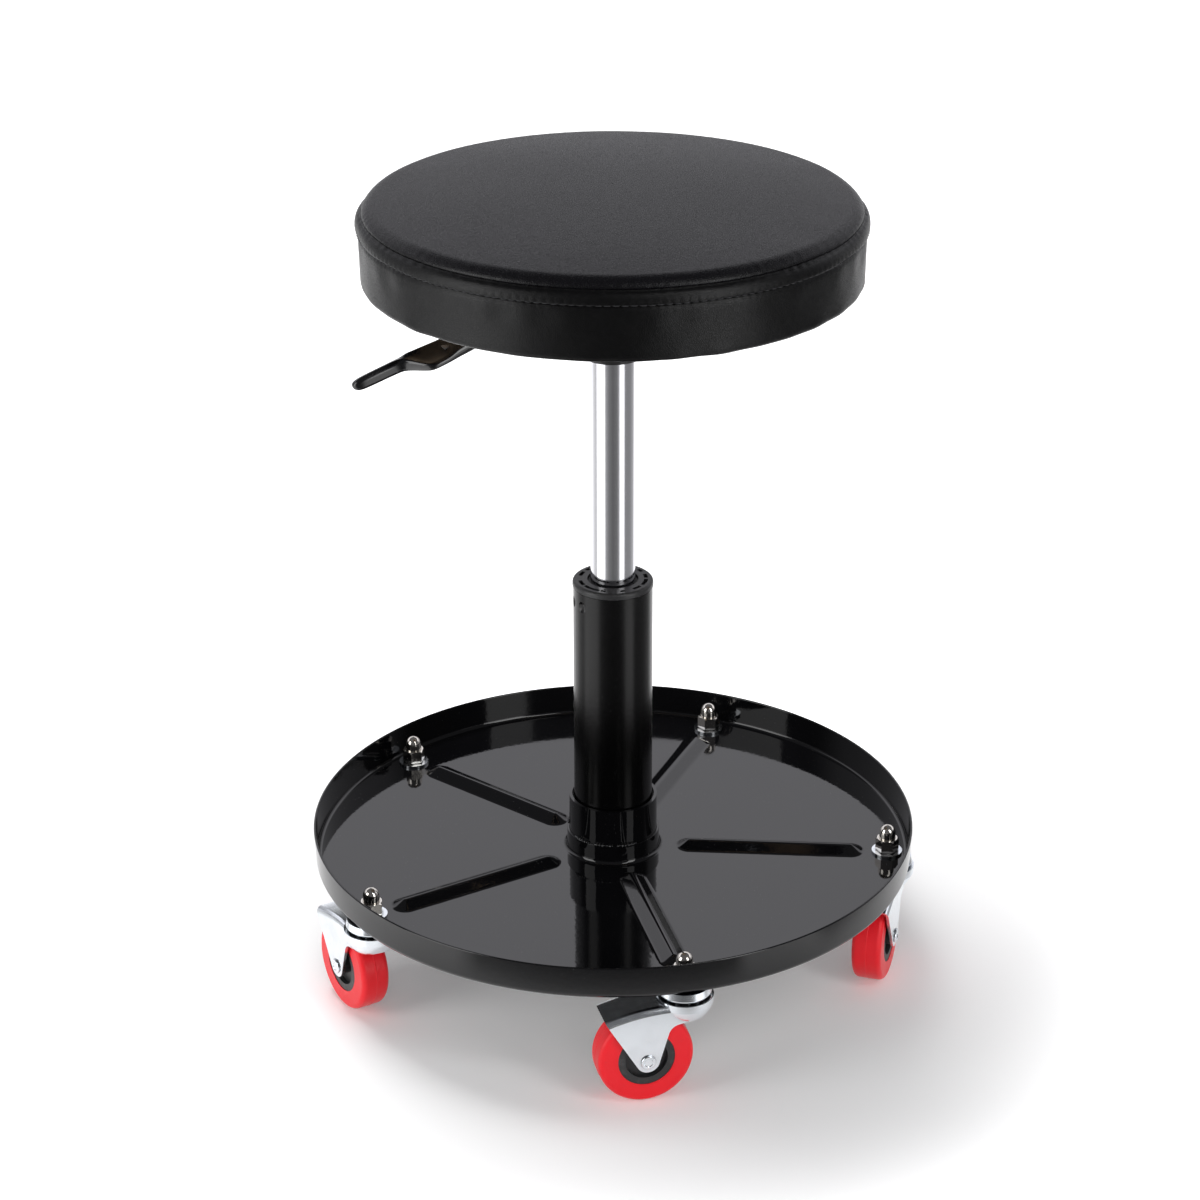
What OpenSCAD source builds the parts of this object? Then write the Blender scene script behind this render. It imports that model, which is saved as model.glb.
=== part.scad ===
// Creeper seat: a padded swivel stool on a gas lift, with a round tool tray on five casters.
// Millimetres, +Z up. The origin is on the floor, under the middle of the column.
// The seat is drawn raised to the top of its stroke.

/* [Seat] */
// Diameter of the seat over its sewn binding
seat_d = 306; // [296:1:316]
// Height of the cushion from the underside of its board to the crown
cushion_h = 56.4; // [52:0.2:64]
// Rise of the crown over the seat's shoulder
crown_rise = 8.4; // [6:0.2:11]
// Radius of the rounded shoulder
shoulder_r = 10.6; // [9:0.2:13]
// Thickness of the vinyl skin
skin_t = 1.2; // [0.8:0.1:1.4]
// Height of the sewn binding strip
binding_h = 10; // [8:0.5:12]
// Height of the top seam over the middle of the shoulder's arc
seam_lift = 5.8; // [4:0.2:7]
// How far the side band draws in under the binding
waist_in = 1.2; // [0.6:0.1:2.2]
// Thickness of the plywood seat board
board_t = 12; // [10:1:15]
// Width of vinyl folded under the board
hem_w = 20; // [12:1:25]

/* [Seat mechanism] */
// Side of the square seat plate
plate_w = 150; // [140:2:160]
// Thickness of the seat plate
plate_t = 2.5; // [2:0.5:3]
// Corner radius of the seat plate
plate_corner_r = 12; // [8:1:16]
// Distance between neighbouring seat bolts
bolt_spacing = 120; // [110:2:126]
// Diameter of a seat bolt's thread
bolt_d = 6; // [5:0.5:6.5]
// Height of the lever housing under the plate
housing_h = 24; // [23.5:0.5:28]
// Clear width inside the lever housing
housing_in_w = 22; // [20:1:26]
// Length of the lever housing
housing_l = 76; // [72:1:84]
// Wall of the lever housing
housing_t = 2.5; // [2:0.5:3]
// Length of the cone socket that takes the cylinder's top
cone_l = 27; // [24:1:28]
// Outer diameter of the cone socket
cone_d = 36; // [34:1:38]

/* [Lever] */
// Direction in which the lever points, counted from +X
lever_a = 210; // [200:1:220]
// Distance from the column's axis to the lever's pivot
pivot_r = 22; // [21:0.5:24]
// Diameter of the pivot pin
pivot_d = 5; // [4:0.5:5.5]
// Depth of the flat steel arm
arm_h = 6.4; // [6:0.2:6.8]
// Thickness of the flat steel arm
arm_t = 5; // [4:0.5:6]
// Distance from the axis at which the arm bends down
bend_r = 70; // [66:1:74]
// Slope of the lever beyond its bend
lever_slope = 16.7; // [14:0.5:18]
// Distance from the axis to the lever's tip
lever_reach = 168; // [160:1:176]
// Width of the paddle behind the finger grip
paddle_w = 21; // [18:1:24]
// Width of the finger grip
grip_w = 8.4; // [7.6:0.2:9.4]
// Sideways offset of the finger grip from the arm
grip_offset = 12.6; // [11:0.2:13.4]
// Rounding of the paddle's edges, and half of its thickness
grip_edge_r = 4.2; // [4:0.1:4.6]

/* [Gas lift] */
// Outer diameter of the column tube
column_d = 50; // [49:0.5:50.5]
// Length of the column tube
column_l = 213.7; // [205:0.1:220]
// Wall of the column tube
column_t = 1.75; // [1.5:0.05:2]
// Distance that the column tube reaches below the tray
column_drop = 29; // [26:0.5:32]
// Half angle of the column's lower taper
taper_a = 1.24; // [1:0.02:1.4]
// Height of the cap on the column
cap_h = 4.4; // [4:0.1:6]
// Depth of the guide bush inside the column
bush_l = 58; // [50:1:66]
// Diameter of the gas cylinder
cylinder_d = 28; // [27.5:0.1:28.2]
// Wall of the gas cylinder
cylinder_t = 1.8; // [1.5:0.1:2]
// Length of the gas cylinder
cylinder_l = 244; // [238:1:250]
// Stroke of the lift
lift_stroke = 125; // [120:1:128]
// Diameter of the piston rod
rod_d = 10; // [9.5:0.5:10.5]
// Diameter of the release pin
release_d = 8; // [7:0.5:8.5]
// Height of the release pin above the cylinder
release_h = 5.6; // [5.4:0.1:6]

/* [Tray] */
// Outer diameter of the tray
tray_d = 385.6; // [380:0.4:390]
// Thickness of the tray's sheet steel
tray_t = 1.4; // [1:0.1:1.6]
// Height of the tray from its underside to the top of its rim
tray_h = 21.8; // [20:0.2:23]
// Inner radius of the bend between floor and rim
rim_bend_r = 2.6; // [2:0.2:3.2]
// Outward lean of the rim
rim_lean = 2.4; // [0.4:0.2:4]
// Height of the drawn neck over the tray's underside
neck_h = 14.2; // [12:0.2:16]
// Radius of the fillet round the foot of the neck
neck_fillet_r = 3; // [2.4:0.2:4]
// Height of the pressed ribs
rib_h = 4.5; // [3.5:0.1:5]
// Width of the ribs at their base
rib_w = 20; // [18:0.5:21]
// Radius of the rounded crest of a rib
rib_crest_r = 4; // [3:0.2:5]
// Radius of the hollow bend at the foot of a rib
rib_foot_r = 5; // [4:0.2:6]
// Distance from the axis to the inner end of a rib
rib_start = 40; // [38:0.5:44]
// Distance from the tray's edge to the outer end of a rib
rib_inset = 29.8; // [28:0.2:34]
// Outer diameter of the column socket
socket_d = 56.5; // [55.5:0.1:57.5]
// Length of the column socket
socket_l = 52; // [46:0.5:54]
// Distance from the tray's underside to the socket's mouth
socket_top = 38.3; // [36:0.1:40]
// Depth of the socket's wider mouth
mouth_h = 7.3; // [6:0.1:8]
// Gap round the column in the socket's mouth
mouth_gap = 1.3; // [0.8:0.1:1.5]

/* [Casters] */
// Distance from the tray's edge to the caster studs
stud_inset = 15.8; // [15:0.2:17]
// Diameter of a wheel
wheel_d = 60; // [58:0.5:62]
// Width of a wheel
wheel_w = 19.2; // [18:0.2:21]
// Trail from the swivel axis to the axle
trail = 26; // [24:0.5:27]
// Rounding of the tread's corners
tread_corner_r = 3.4; // [2.4:0.2:4]
// Outer diameter of the wheel's core
core_d = 35.5; // [34:0.5:37]
// Diameter of the axle rivet
axle_d = 6; // [5:0.5:6.5]
// Diameter of a rivet head
rivet_head_d = 9; // [8.4:0.2:9.6]
// Thickness of the fork's sheet
fork_t = 1.8; // [1.5:0.1:2]
// Gap between the wheel and each leg of the fork
leg_gap = 1.6; // [1.2:0.1:2]
// Gap between the wheel and the crown of the fork
crown_gap = 4.1; // [3.6:0.1:5]
// Radius along the arched crown
crown_r = 126; // [115:1:140]
// Outer radius of the fold between crown and legs
fold_r = 3.8; // [3.2:0.2:4.4]
// Radius of the rounded foot of a leg
foot_r = 7.3; // [6.8:0.1:8]
// Outer diameter of the lower ball race
race_d = 35.6; // [34.6:0.2:36.6]
// Height of the open gap between the races
race_gap = 1.2; // [1:0.1:1.6]
// Height of the upper ball race
cup_h = 5.8; // [5.4:0.1:6.6]
// Outer diameter of the upper ball race
cup_d = 33; // [32:0.2:34]
// Diameter of a race ball
ball_d = 5; // [4.6:0.1:5.2]
// Diameter of the king pin
king_d = 10; // [9:0.5:10.5]
// Diameter of the threaded stud
stud_d = 8; // [7:0.5:8.5]

/* [Fasteners] */
// Diameter of the washers in the tray
washer_d = 19.6; // [18:0.2:20]
// Thickness of the washers in the tray
washer_t = 1.6; // [1.2:0.1:2]
// Width across the flats of the acorn nuts
nut_af = 13; // [12.5:0.1:13.5]
// Height of the nut's hexagon
nut_hex_h = 8.8; // [7:0.2:10]
// Diameter of the nut's dome
nut_dome_d = 10.6; // [10:0.1:11]
// Height of an acorn nut
nut_h = 17.8; // [16.6:0.2:19]

/* [Hidden] */
$fn = 96;

// Casters stand at equal angles. Each one's heading is the way its wheel trails.
caster_count = 5;
caster_step = 360 / caster_count;
first_caster_a = -4;
caster_headings = [253, 330, 20, 122, 195];

// Clearances and the overrun of every cut
run_gap = 0.08;
press_gap = 0.03;
loose_gap = 0.3;
bolt_gap = 0.35;
skin_gap = 0.1;
over = 2;

// Colours
BLACK_PAINT = [0.03, 0.03, 0.035];
ZINC = [0.72, 0.75, 0.78];
STEEL = [0.62, 0.63, 0.65];
NICKEL = [0.80, 0.77, 0.72];
RED = [0.85, 0.04, 0.07];
BLACK_PLASTIC = [0.05, 0.05, 0.055];
VINYL = [0.045, 0.045, 0.05];
FOAM = [0.85, 0.80, 0.62];
PLY = [0.66, 0.50, 0.32];
RUBBER = [0.08, 0.08, 0.08];

// Heights from the floor up through a caster to the tray
axle_z = wheel_d / 2;
crown_z = wheel_d + crown_gap + fork_t;
race_step = 1.1;
race_z = crown_z + race_step;
cup_z = race_z + race_gap;
tray_z = cup_z + cup_h;
floor_z = tray_z + tray_t;
rim_z = tray_z + tray_h;
washer_z = floor_z + washer_t;

// Tray radii
rim_out_r = tray_d / 2;
stud_circle_r = rim_out_r - stud_inset;
rib_end = rim_out_r - rib_inset;
neck_in_r = socket_d / 2 + press_gap;
neck_out_r = neck_in_r + tray_t;

// Column
column_r = column_d / 2;
column_z = tray_z - column_drop;
column_top_z = column_z + column_l;
socket_top_z = tray_z + socket_top;
socket_z = socket_top_z - socket_l;
taper_top_z = socket_top_z - mouth_h;
column_foot_r = column_r - (taper_top_z - column_z) * tan(taper_a);
base_t = 3.5;
cap_z = column_top_z + cap_h;
cap_round_r = 2;

// Bearing and buffer at the foot of the piston rod
rod_end_d = rod_d * 0.8;
bearing_r = 11.5;
race_t = 1.5;
bearing_ball_d = 3.4;
bearing_ball_count = 12;
groove_depth = 0.7;
buffer_l = 12.9;
buffer_r = 12.5;
buffer_washer_t = 1.6;
clip_t = 1.2;
clip_r = 7;
rod_tip = 2;
base_z = column_z + base_t;
lower_race_top_z = base_z + race_t;
bearing_ball_z = lower_race_top_z + bearing_ball_d / 2 - groove_depth;
upper_race_z = bearing_ball_z + bearing_ball_d / 2 - groove_depth;
buffer_z = upper_race_z + race_t;
buffer_washer_z = buffer_z + buffer_l;
shoulder_z = buffer_washer_z + buffer_washer_t;
low_gap = 1;

// Gas cylinder, raised
cylinder_r = cylinder_d / 2;
bore_r = cylinder_r - cylinder_t;
cylinder_z = shoulder_z + low_gap + lift_stroke;
cylinder_top_z = cylinder_z + cylinder_l;
end_lip_t = 2;
gland_h = 10;
piston_h = 15;
valve_h = 28;
cone_slope = 0.025;
cone_seat_z = cylinder_top_z - cone_l;
cylinder_tip_r = cylinder_r - cone_l * cone_slope;

// Seat mechanism
plate_z = cylinder_top_z - housing_t + housing_h;
board_z = plate_z + plate_t;
board_top_z = board_z + board_t;
crown_top_z = board_z + cushion_h;
arm_z = cylinder_top_z + release_h + loose_gap + arm_h / 2;

// Seat outline
seat_r = seat_d / 2;
shoulder_in = 2.3;
shoulder_x = seat_r - shoulder_in - shoulder_r;
dome_r = (shoulder_x * shoulder_x + crown_rise * crown_rise) / (2 * crown_rise);
dome_a = asin(shoulder_x / (dome_r - shoulder_r));
shoulder_z_mid = crown_top_z - dome_r + (dome_r - shoulder_r) * cos(dome_a);
seam_a = asin(seam_lift / shoulder_r);
seam_r = shoulder_x + shoulder_r * cos(seam_a);
seam_z = shoulder_z_mid + seam_lift;
binding_z = seam_z - binding_h;
hem_z = board_z - skin_gap - skin_t;
roll_r = 4;
band_r = seat_r - 1.2 * skin_t;
panel_edge = skin_t * sin(seam_a);

// Points along an arc, and along a bent line drawn towards a middle point
function arc(c, r, a0, a1, n) =
    [for (i = [0:n]) let (a = a0 + (a1 - a0) * i / n) c + r * [cos(a), sin(a)]];
function bow(p, q, s, n) =
    [for (i = [0:n]) let (t = i / n) (1 - t) * (1 - t) * p + 2 * t * (1 - t) * q + t * t * s];
function reversed(v) = [for (i = [len(v) - 1:-1:0]) v[i]];

module tube(r_out, r_in, h) {
    difference() {
        cylinder(r = r_out, h = h);
        translate([0, 0, -over]) cylinder(r = r_in, h = h + 2 * over);
    }
}

module rounded_square(w, r) {
    square([w - 2 * r, w], center = true);
    square([w, w - 2 * r], center = true);
    for (x = [-1, 1], y = [-1, 1])
        translate([x, y] * (w / 2 - r)) circle(r = r);
}

// Places
module at_studs() {
    for (k = [0:caster_count - 1])
        rotate(first_caster_a + caster_step * k) translate([stud_circle_r, 0, 0]) children();
}

module at_caster(k) {
    rotate(first_caster_a + caster_step * k) translate([stud_circle_r, 0, 0])
        rotate(caster_headings[k] - first_caster_a - caster_step * k) children();
}

module at_bolts() {
    rotate(lever_a) for (x = [-1, 1], y = [-1, 1])
        translate([x * bolt_spacing / 2, y * bolt_spacing / 2, 0]) children();
}

// Tray. The rim leans outwards from its bend and ends in a rounded edge.
rim_mid_r = rim_bend_r + tray_t / 2;
rim_edge_c = [rim_out_r - tray_t / 2, rim_z - tray_t / 2];
rim_run = (rim_edge_c[1] - floor_z - rim_bend_r + rim_mid_r * sin(rim_lean)) / cos(rim_lean);
rim_bend_c = [rim_edge_c[0] - rim_mid_r * cos(rim_lean) - rim_run * sin(rim_lean), floor_z + rim_bend_r];
neck_fillet_c = [neck_out_r + neck_fillet_r, floor_z + neck_fillet_r];
tray_section = concat(
    [[neck_out_r, tray_z + neck_h]],
    arc(neck_fillet_c, neck_fillet_r, 180, 270, 8),
    arc(rim_bend_c, rim_bend_r, 270, 360 - rim_lean, 8),
    arc(rim_edge_c, tray_t / 2, 180 - rim_lean, -rim_lean, 8),
    arc(rim_bend_c, rim_bend_r + tray_t, 360 - rim_lean, 270, 8),
    arc(neck_fillet_c, neck_fillet_r + tray_t, 270, 180, 8),
    [[neck_in_r, tray_z + neck_h]]);

// Half of a rib's section: a round crest, a straight flank and a hollow foot
rib_foot_c = [rib_w / 2, rib_foot_r];
rib_crest_c = [0, rib_h - rib_crest_r];
rib_reach = rib_foot_c - rib_crest_c;
rib_flank_a = atan2(rib_reach[1], rib_reach[0]) + acos((rib_foot_r + rib_crest_r) / norm(rib_reach));
rib_half = concat(
    arc(rib_crest_c, rib_crest_r, 90, rib_flank_a, 6),
    arc(rib_foot_c, rib_foot_r, 180 + rib_flank_a, 270, 6));

module rib_form(root) {
    half = concat([[0, -root]], rib_half, [[rib_w / 2, -root]]);
    whole = concat(half, [for (p = reversed(half)) if (p[0] > 0) [-p[0], p[1]]]);
    run = rib_end - rib_start - rib_w;
    translate([rib_start + rib_w / 2, 0, 0]) {
        rotate([90, 0, 90]) linear_extrude(run) polygon(whole);
        rotate(90) rotate_extrude(angle = 180) polygon(half);
        translate([run, 0, 0]) rotate(-90) rotate_extrude(angle = 180) polygon(half);
    }
}

module tray() {
    color(BLACK_PAINT) difference() {
        union() {
            rotate_extrude($fn = 180) polygon(tray_section);
            for (k = [0:caster_count - 1])
                rotate(first_caster_a + caster_step * k) translate([0, 0, floor_z])
                    rib_form(tray_t / 2);
        }
        for (k = [0:caster_count - 1])
            rotate(first_caster_a + caster_step * k) translate([0, 0, tray_z]) rib_form(over);
        at_studs() translate([0, 0, tray_z - over])
            cylinder(d = stud_d + 2 * bolt_gap, h = tray_t + 2 * over);
    }
}

module column_socket() {
    taper_foot_r = column_r - (taper_top_z - socket_z) * tan(taper_a) + press_gap;
    color(BLACK_PAINT) rotate_extrude() polygon([
        [taper_foot_r, socket_z],
        [socket_d / 2, socket_z],
        [socket_d / 2, socket_top_z],
        [column_r + mouth_gap, socket_top_z],
        [column_r + mouth_gap, taper_top_z],
        [column_r + press_gap, taper_top_z]]);
}

weld_r = 1.9;
weld_spread = 26;
weld_angles = [225, 257, 288, 45, 108, 160];

module socket_welds() {
    color(BLACK_PAINT) for (a = weld_angles)
        rotate(a - weld_spread / 2) rotate_extrude(angle = weld_spread) intersection() {
            translate([neck_in_r, tray_z + neck_h]) circle(r = weld_r, $fn = 24);
            translate([socket_d / 2 + press_gap, tray_z + neck_h]) square(over);
        }
}

// Gas lift. Round punch marks near the column's top hold the guide bush.
punch_angles = [15, 39.5, 195, 219.5];
punch_drop = 8.7;
punch_d = 7.4;
punch_depth = 1.1;

module column_tube() {
    inner_r = column_r - column_t;
    inner_foot_r = column_foot_r - column_t;
    punch_r = (punch_d * punch_d / 4 + punch_depth * punch_depth) / (2 * punch_depth);
    color(BLACK_PAINT) difference() {
        rotate_extrude() polygon([
            [rod_end_d / 2 + run_gap, column_z],
            [column_foot_r, column_z],
            [column_r, taper_top_z],
            [column_r, column_top_z],
            [inner_r, column_top_z],
            [inner_r, taper_top_z],
            [inner_foot_r, base_z],
            [rod_end_d / 2 + run_gap, base_z]]);
        for (a = punch_angles)
            rotate(a) translate([column_r + punch_r - punch_depth, 0, column_top_z - punch_drop])
                sphere(r = punch_r);
    }
}

// Slots in the cap: middle angle counted from the front and spread, on the right and on the left
cap_slots_right = [[17, 9], [46, 18], [74, 26], [100, 16], [125, 12], [146, 14]];
cap_slots_left = [[-17, 9], [-40.5, 33], [-70, 20], [-110, 18], [-132, 11], [-155, 12]];
slot_w = 2.4;
slot_depth = 2.4;
slot_circle_share = 0.83;
cap_lip = 0.4;
cap_chamfer = 0.6;
wiper_w = 1.4;
wiper_sunk = 1.2;
wiper_depth = 3;
wiper_groove = 0.6;

module column_cap() {
    slot_r = column_r * slot_circle_share;
    color(BLACK_PLASTIC) difference() {
        rotate_extrude() polygon(concat(
            [[cylinder_r + run_gap, column_top_z - bush_l],
             [column_r - column_t - press_gap, column_top_z - bush_l],
             [column_r - column_t - press_gap, column_top_z],
             [column_r + cap_lip - cap_chamfer, column_top_z],
             [column_r + cap_lip, column_top_z + cap_chamfer]],
            arc([column_r + cap_lip - cap_round_r, cap_z - cap_round_r], cap_round_r, 0, 90, 6),
            [[cylinder_r + wiper_w + wiper_groove, cap_z],
             [cylinder_r + wiper_w + wiper_groove, cap_z - wiper_depth],
             [cylinder_r + run_gap, cap_z - wiper_depth]]));
        for (s = concat(cap_slots_right, cap_slots_left))
            rotate(s[0] - 90 - s[1] / 2) rotate_extrude(angle = s[1])
                translate([slot_r - slot_w / 2, cap_z - slot_depth]) square([slot_w, slot_depth + over]);
    }
}

module wiper_ring() {
    color(RUBBER) translate([0, 0, cap_z - wiper_depth])
        tube(cylinder_r + wiper_w, cylinder_r + run_gap, wiper_depth - wiper_sunk);
}

module race_washer(z, groove_z) {
    difference() {
        translate([0, 0, z]) tube(bearing_r + bearing_ball_d, rod_end_d / 2 + run_gap, race_t);
        translate([0, 0, groove_z]) rotate_extrude()
            translate([bearing_r, 0]) circle(d = bearing_ball_d + 2 * press_gap, $fn = 32);
    }
}

module bearing_lower_race() {
    color(STEEL) race_washer(base_z, bearing_ball_z);
}

module bearing_upper_race() {
    color(STEEL) race_washer(upper_race_z, bearing_ball_z);
}

module bearing_balls() {
    cage_t = bearing_ball_d - 2 * groove_depth - 2 * loose_gap;
    color(STEEL) for (i = [0:bearing_ball_count - 1])
        rotate(i * 360 / bearing_ball_count) translate([bearing_r, 0, bearing_ball_z])
            sphere(d = bearing_ball_d, $fn = 32);
    color(STEEL) difference() {
        translate([0, 0, bearing_ball_z - cage_t / 2])
            tube(bearing_r + bearing_ball_d / 2, rod_end_d / 2 + loose_gap, cage_t);
        for (i = [0:bearing_ball_count - 1])
            rotate(i * 360 / bearing_ball_count) translate([bearing_r, 0, bearing_ball_z])
                sphere(d = bearing_ball_d + 2 * press_gap, $fn = 32);
    }
}

module rubber_buffer() {
    groove_r = 1.6;
    color(RUBBER) difference() {
        translate([0, 0, buffer_z]) tube(buffer_r, rod_end_d / 2 + press_gap, buffer_l);
        translate([0, 0, buffer_z + buffer_l / 2]) rotate_extrude()
            translate([buffer_r, 0]) circle(r = groove_r, $fn = 32);
    }
}

module buffer_washer() {
    color(STEEL) translate([0, 0, buffer_washer_z])
        tube(buffer_r, rod_end_d / 2 + press_gap, buffer_washer_t);
}

module rod_clip() {
    groove_r = rod_end_d * 0.4;
    color(STEEL) translate([0, 0, column_z - loose_gap - clip_t]) difference() {
        cylinder(r = clip_r, h = clip_t);
        translate([0, 0, -over]) cylinder(r = groove_r + press_gap, h = clip_t + 2 * over);
        translate([0, -groove_r, -over]) cube([clip_r + over, 2 * groove_r, clip_t + 2 * over]);
    }
}

module piston_rod() {
    clip_z = column_z - loose_gap - clip_t;
    gap = press_gap;
    color(STEEL) rotate_extrude() polygon([
        [0, clip_z - rod_tip],
        [rod_end_d / 2, clip_z - rod_tip],
        [rod_end_d / 2, clip_z - gap],
        [rod_end_d * 0.4, clip_z - gap],
        [rod_end_d * 0.4, clip_z + clip_t + gap],
        [rod_end_d / 2, clip_z + clip_t + gap],
        [rod_end_d / 2, shoulder_z],
        [rod_d / 2, shoulder_z],
        [rod_d / 2, cylinder_z + end_lip_t + gland_h + piston_h + loose_gap],
        [0, cylinder_z + end_lip_t + gland_h + piston_h + loose_gap]]);
}

module piston() {
    ring_w = 3;
    ring_depth = 0.8;
    color(STEEL) difference() {
        translate([0, 0, cylinder_z + end_lip_t + gland_h + loose_gap])
            tube(bore_r - run_gap, rod_d / 2 + press_gap, piston_h);
        translate([0, 0, cylinder_z + end_lip_t + gland_h + loose_gap + (piston_h - ring_w) / 2])
            tube(bore_r + over, bore_r - run_gap - ring_depth, ring_w);
    }
}

module gas_cylinder() {
    end_round_r = 1.2;
    color(STEEL) rotate_extrude() polygon(concat(
        [[rod_d / 2 + loose_gap, cylinder_z]],
        arc([cylinder_r - end_round_r, cylinder_z + end_round_r], end_round_r, 270, 360, 4),
        [[cylinder_r, cone_seat_z],
         [cylinder_tip_r, cylinder_top_z],
         [release_d / 2 + run_gap, cylinder_top_z],
         [release_d / 2 + run_gap, cylinder_top_z - end_lip_t],
         [bore_r, cylinder_top_z - end_lip_t - cylinder_t],
         [bore_r, cylinder_z + end_lip_t],
         [rod_d / 2 + loose_gap, cylinder_z + end_lip_t]]));
}

module cylinder_gland() {
    color(BLACK_PLASTIC) translate([0, 0, cylinder_z + end_lip_t])
        tube(bore_r - press_gap, rod_d / 2 + run_gap, gland_h);
}

module valve_body() {
    color(STEEL) translate([0, 0, cylinder_top_z - end_lip_t - cylinder_t - valve_h])
        tube(bore_r - press_gap, release_d / 2 + run_gap, valve_h);
}

module release_pin() {
    pin_l = valve_h * 0.8;
    dome_h = 1.4;
    color(STEEL) translate([0, 0, cylinder_top_z + release_h - pin_l]) rotate_extrude() polygon(concat(
        [[0, 0], [release_d / 2, 0]],
        bow([release_d / 2, pin_l - dome_h], [release_d / 2, pin_l], [0, pin_l], 6)));
}

// Fasteners in the tray
module stud_washers() {
    color(ZINC) at_studs() translate([0, 0, floor_z])
        tube(washer_d / 2, stud_d / 2 + bolt_gap, washer_t);
}

module acorn_nuts() {
    chamfer_share = 0.12;
    hex_d = nut_af / cos(30);
    dome_r = nut_dome_d / 2;
    color(NICKEL) at_studs() translate([0, 0, washer_z]) difference() {
        union() {
            intersection() {
                cylinder(d = hex_d, h = nut_hex_h, $fn = 6);
                rotate_extrude() polygon([
                    [0, 0],
                    [nut_af / 2, 0],
                    [hex_d / 2, nut_hex_h * chamfer_share],
                    [hex_d / 2, nut_hex_h * (1 - chamfer_share)],
                    [nut_af / 2, nut_hex_h],
                    [0, nut_hex_h]]);
            }
            cylinder(r = dome_r, h = nut_h - dome_r);
            translate([0, 0, nut_h - dome_r]) sphere(r = dome_r);
        }
        translate([0, 0, -over]) cylinder(d = stud_d + 2 * press_gap, h = nut_h - dome_r + over);
    }
}

// Casters. In a caster's own frame +X is the way the wheel trails.
leg_in = wheel_w / 2 + leg_gap;
leg_out = leg_in + fork_t;
race_r = race_d / 2;
race_plate_z = crown_z - 2 * fork_t;
race_wall = 2.6;
ball_circle_r = cup_d / 2 - ball_d / 2 - race_wall;
ball_z = race_z + race_gap / 2;
ball_count = 13;
king_head_r = king_d * 0.8;
king_head_h = 2.2;
crown_apex = trail * 0.54;
tail_a = 59.4;
front_a = 106.6;
skirt_low = 11.6;
skirt_slope = 8.2;
front_fillet_r = 8;
rivet_head_h = 1.3;
dish_r = 16;
dish_drop = 2.5;
dish_z = race_z - 0.7 * fork_t;

// The two ball grooves share one ring-shaped cutter
module ball_groove() {
    translate([0, 0, ball_z]) rotate_extrude()
        translate([ball_circle_r, 0]) circle(d = ball_d + 2 * run_gap, $fn = 48);
}

module caster_balls() {
    color(STEEL) for (k = [0:caster_count - 1]) at_caster(k)
        for (i = [0:ball_count - 1])
            rotate(i * 360 / ball_count) translate([ball_circle_r, 0, ball_z])
                sphere(d = ball_d, $fn = 32);
}

module caster_stem(k) {
    stud_top = washer_z + nut_h - nut_dome_d / 2 - loose_gap;
    rim_round = 1.6;
    color(ZINC) at_caster(k) difference() {
        rotate_extrude() polygon(concat(
            [[0, race_plate_z - loose_gap - king_head_h]],
            bow([king_head_r * 0.7, race_plate_z - loose_gap - king_head_h],
                [king_head_r, race_plate_z - loose_gap - king_head_h],
                [king_head_r, race_plate_z - loose_gap], 5),
            [[king_d / 2, race_plate_z - loose_gap],
             [king_d / 2, cup_z]],
            arc([cup_d / 2 - rim_round, cup_z + rim_round], rim_round, 270, 360, 5),
            [[cup_d / 2 - rim_round / 2, tray_z],
             [stud_d / 2, tray_z],
             [stud_d / 2, stud_top],
             [0, stud_top]]));
        ball_groove();
    }
}

// Side outline of a leg: round foot, slanted tail, hollow front and a rising skirt line
skirt_z = crown_z - skirt_low;
foot_c = [trail, axle_z];
front_dir = [cos(front_a), sin(front_a)];
front_start = foot_c + foot_r * [-sin(front_a), cos(front_a)];
skirt_dir = [cos(180 - skirt_slope), sin(180 - skirt_slope)];
// Where the front edge would meet the skirt line, and the fillet that rounds that corner
corner_t = (skirt_z - tan(skirt_slope) * front_start[0] - front_start[1])
    / (front_dir[1] + tan(skirt_slope) * front_dir[0]);
front_corner = front_start + corner_t * front_dir;
fillet_half = (180 - skirt_slope - front_a) / 2;
fillet_run = front_fillet_r * tan(fillet_half);
fillet_start = front_corner - fillet_run * front_dir;
fillet_c = fillet_start + front_fillet_r * [-sin(front_a), cos(front_a)];
tail_start = foot_c + foot_r * [sin(tail_a), -cos(tail_a)];
function on_tail(z) = tail_start + (z - tail_start[1]) / sin(tail_a) * [cos(tail_a), sin(tail_a)];
leg_outline = concat(
    arc(foot_c, foot_r, front_a + 90, 360 + tail_a - 90, 14),
    [on_tail(crown_z + over)],
    [[-crown_apex / 4, crown_z + over]],
    [[-crown_apex / 4, skirt_z + tan(skirt_slope) * crown_apex / 4]],
    reversed(arc(fillet_c, front_fillet_r, front_a - 90, 90 - skirt_slope, 6)));

// The arched crown and both legs are one folded sheet: a rounded arch with a smaller one taken out of it,
// both turned about a line far below the caster, and cut to the side outline of the legs
crown_start_a = 50;
crown_reach_a = 60;
crown_low_r = crown_r - crown_z + axle_z - foot_r - over;

module arch(r, half_w, round_r, low_r, extra_a) {
    translate([crown_apex, 0, crown_z - crown_r]) rotate([90, 0, 0]) rotate(crown_start_a - extra_a)
        rotate_extrude(angle = crown_reach_a + 2 * extra_a, $fn = 180) polygon(concat(
            [[low_r, -half_w]],
            arc([r - round_r, round_r - half_w], round_r, -90, 0, 6),
            arc([r - round_r, half_w - round_r], round_r, 0, 90, 6),
            [[low_r, half_w]]));
}

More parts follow.
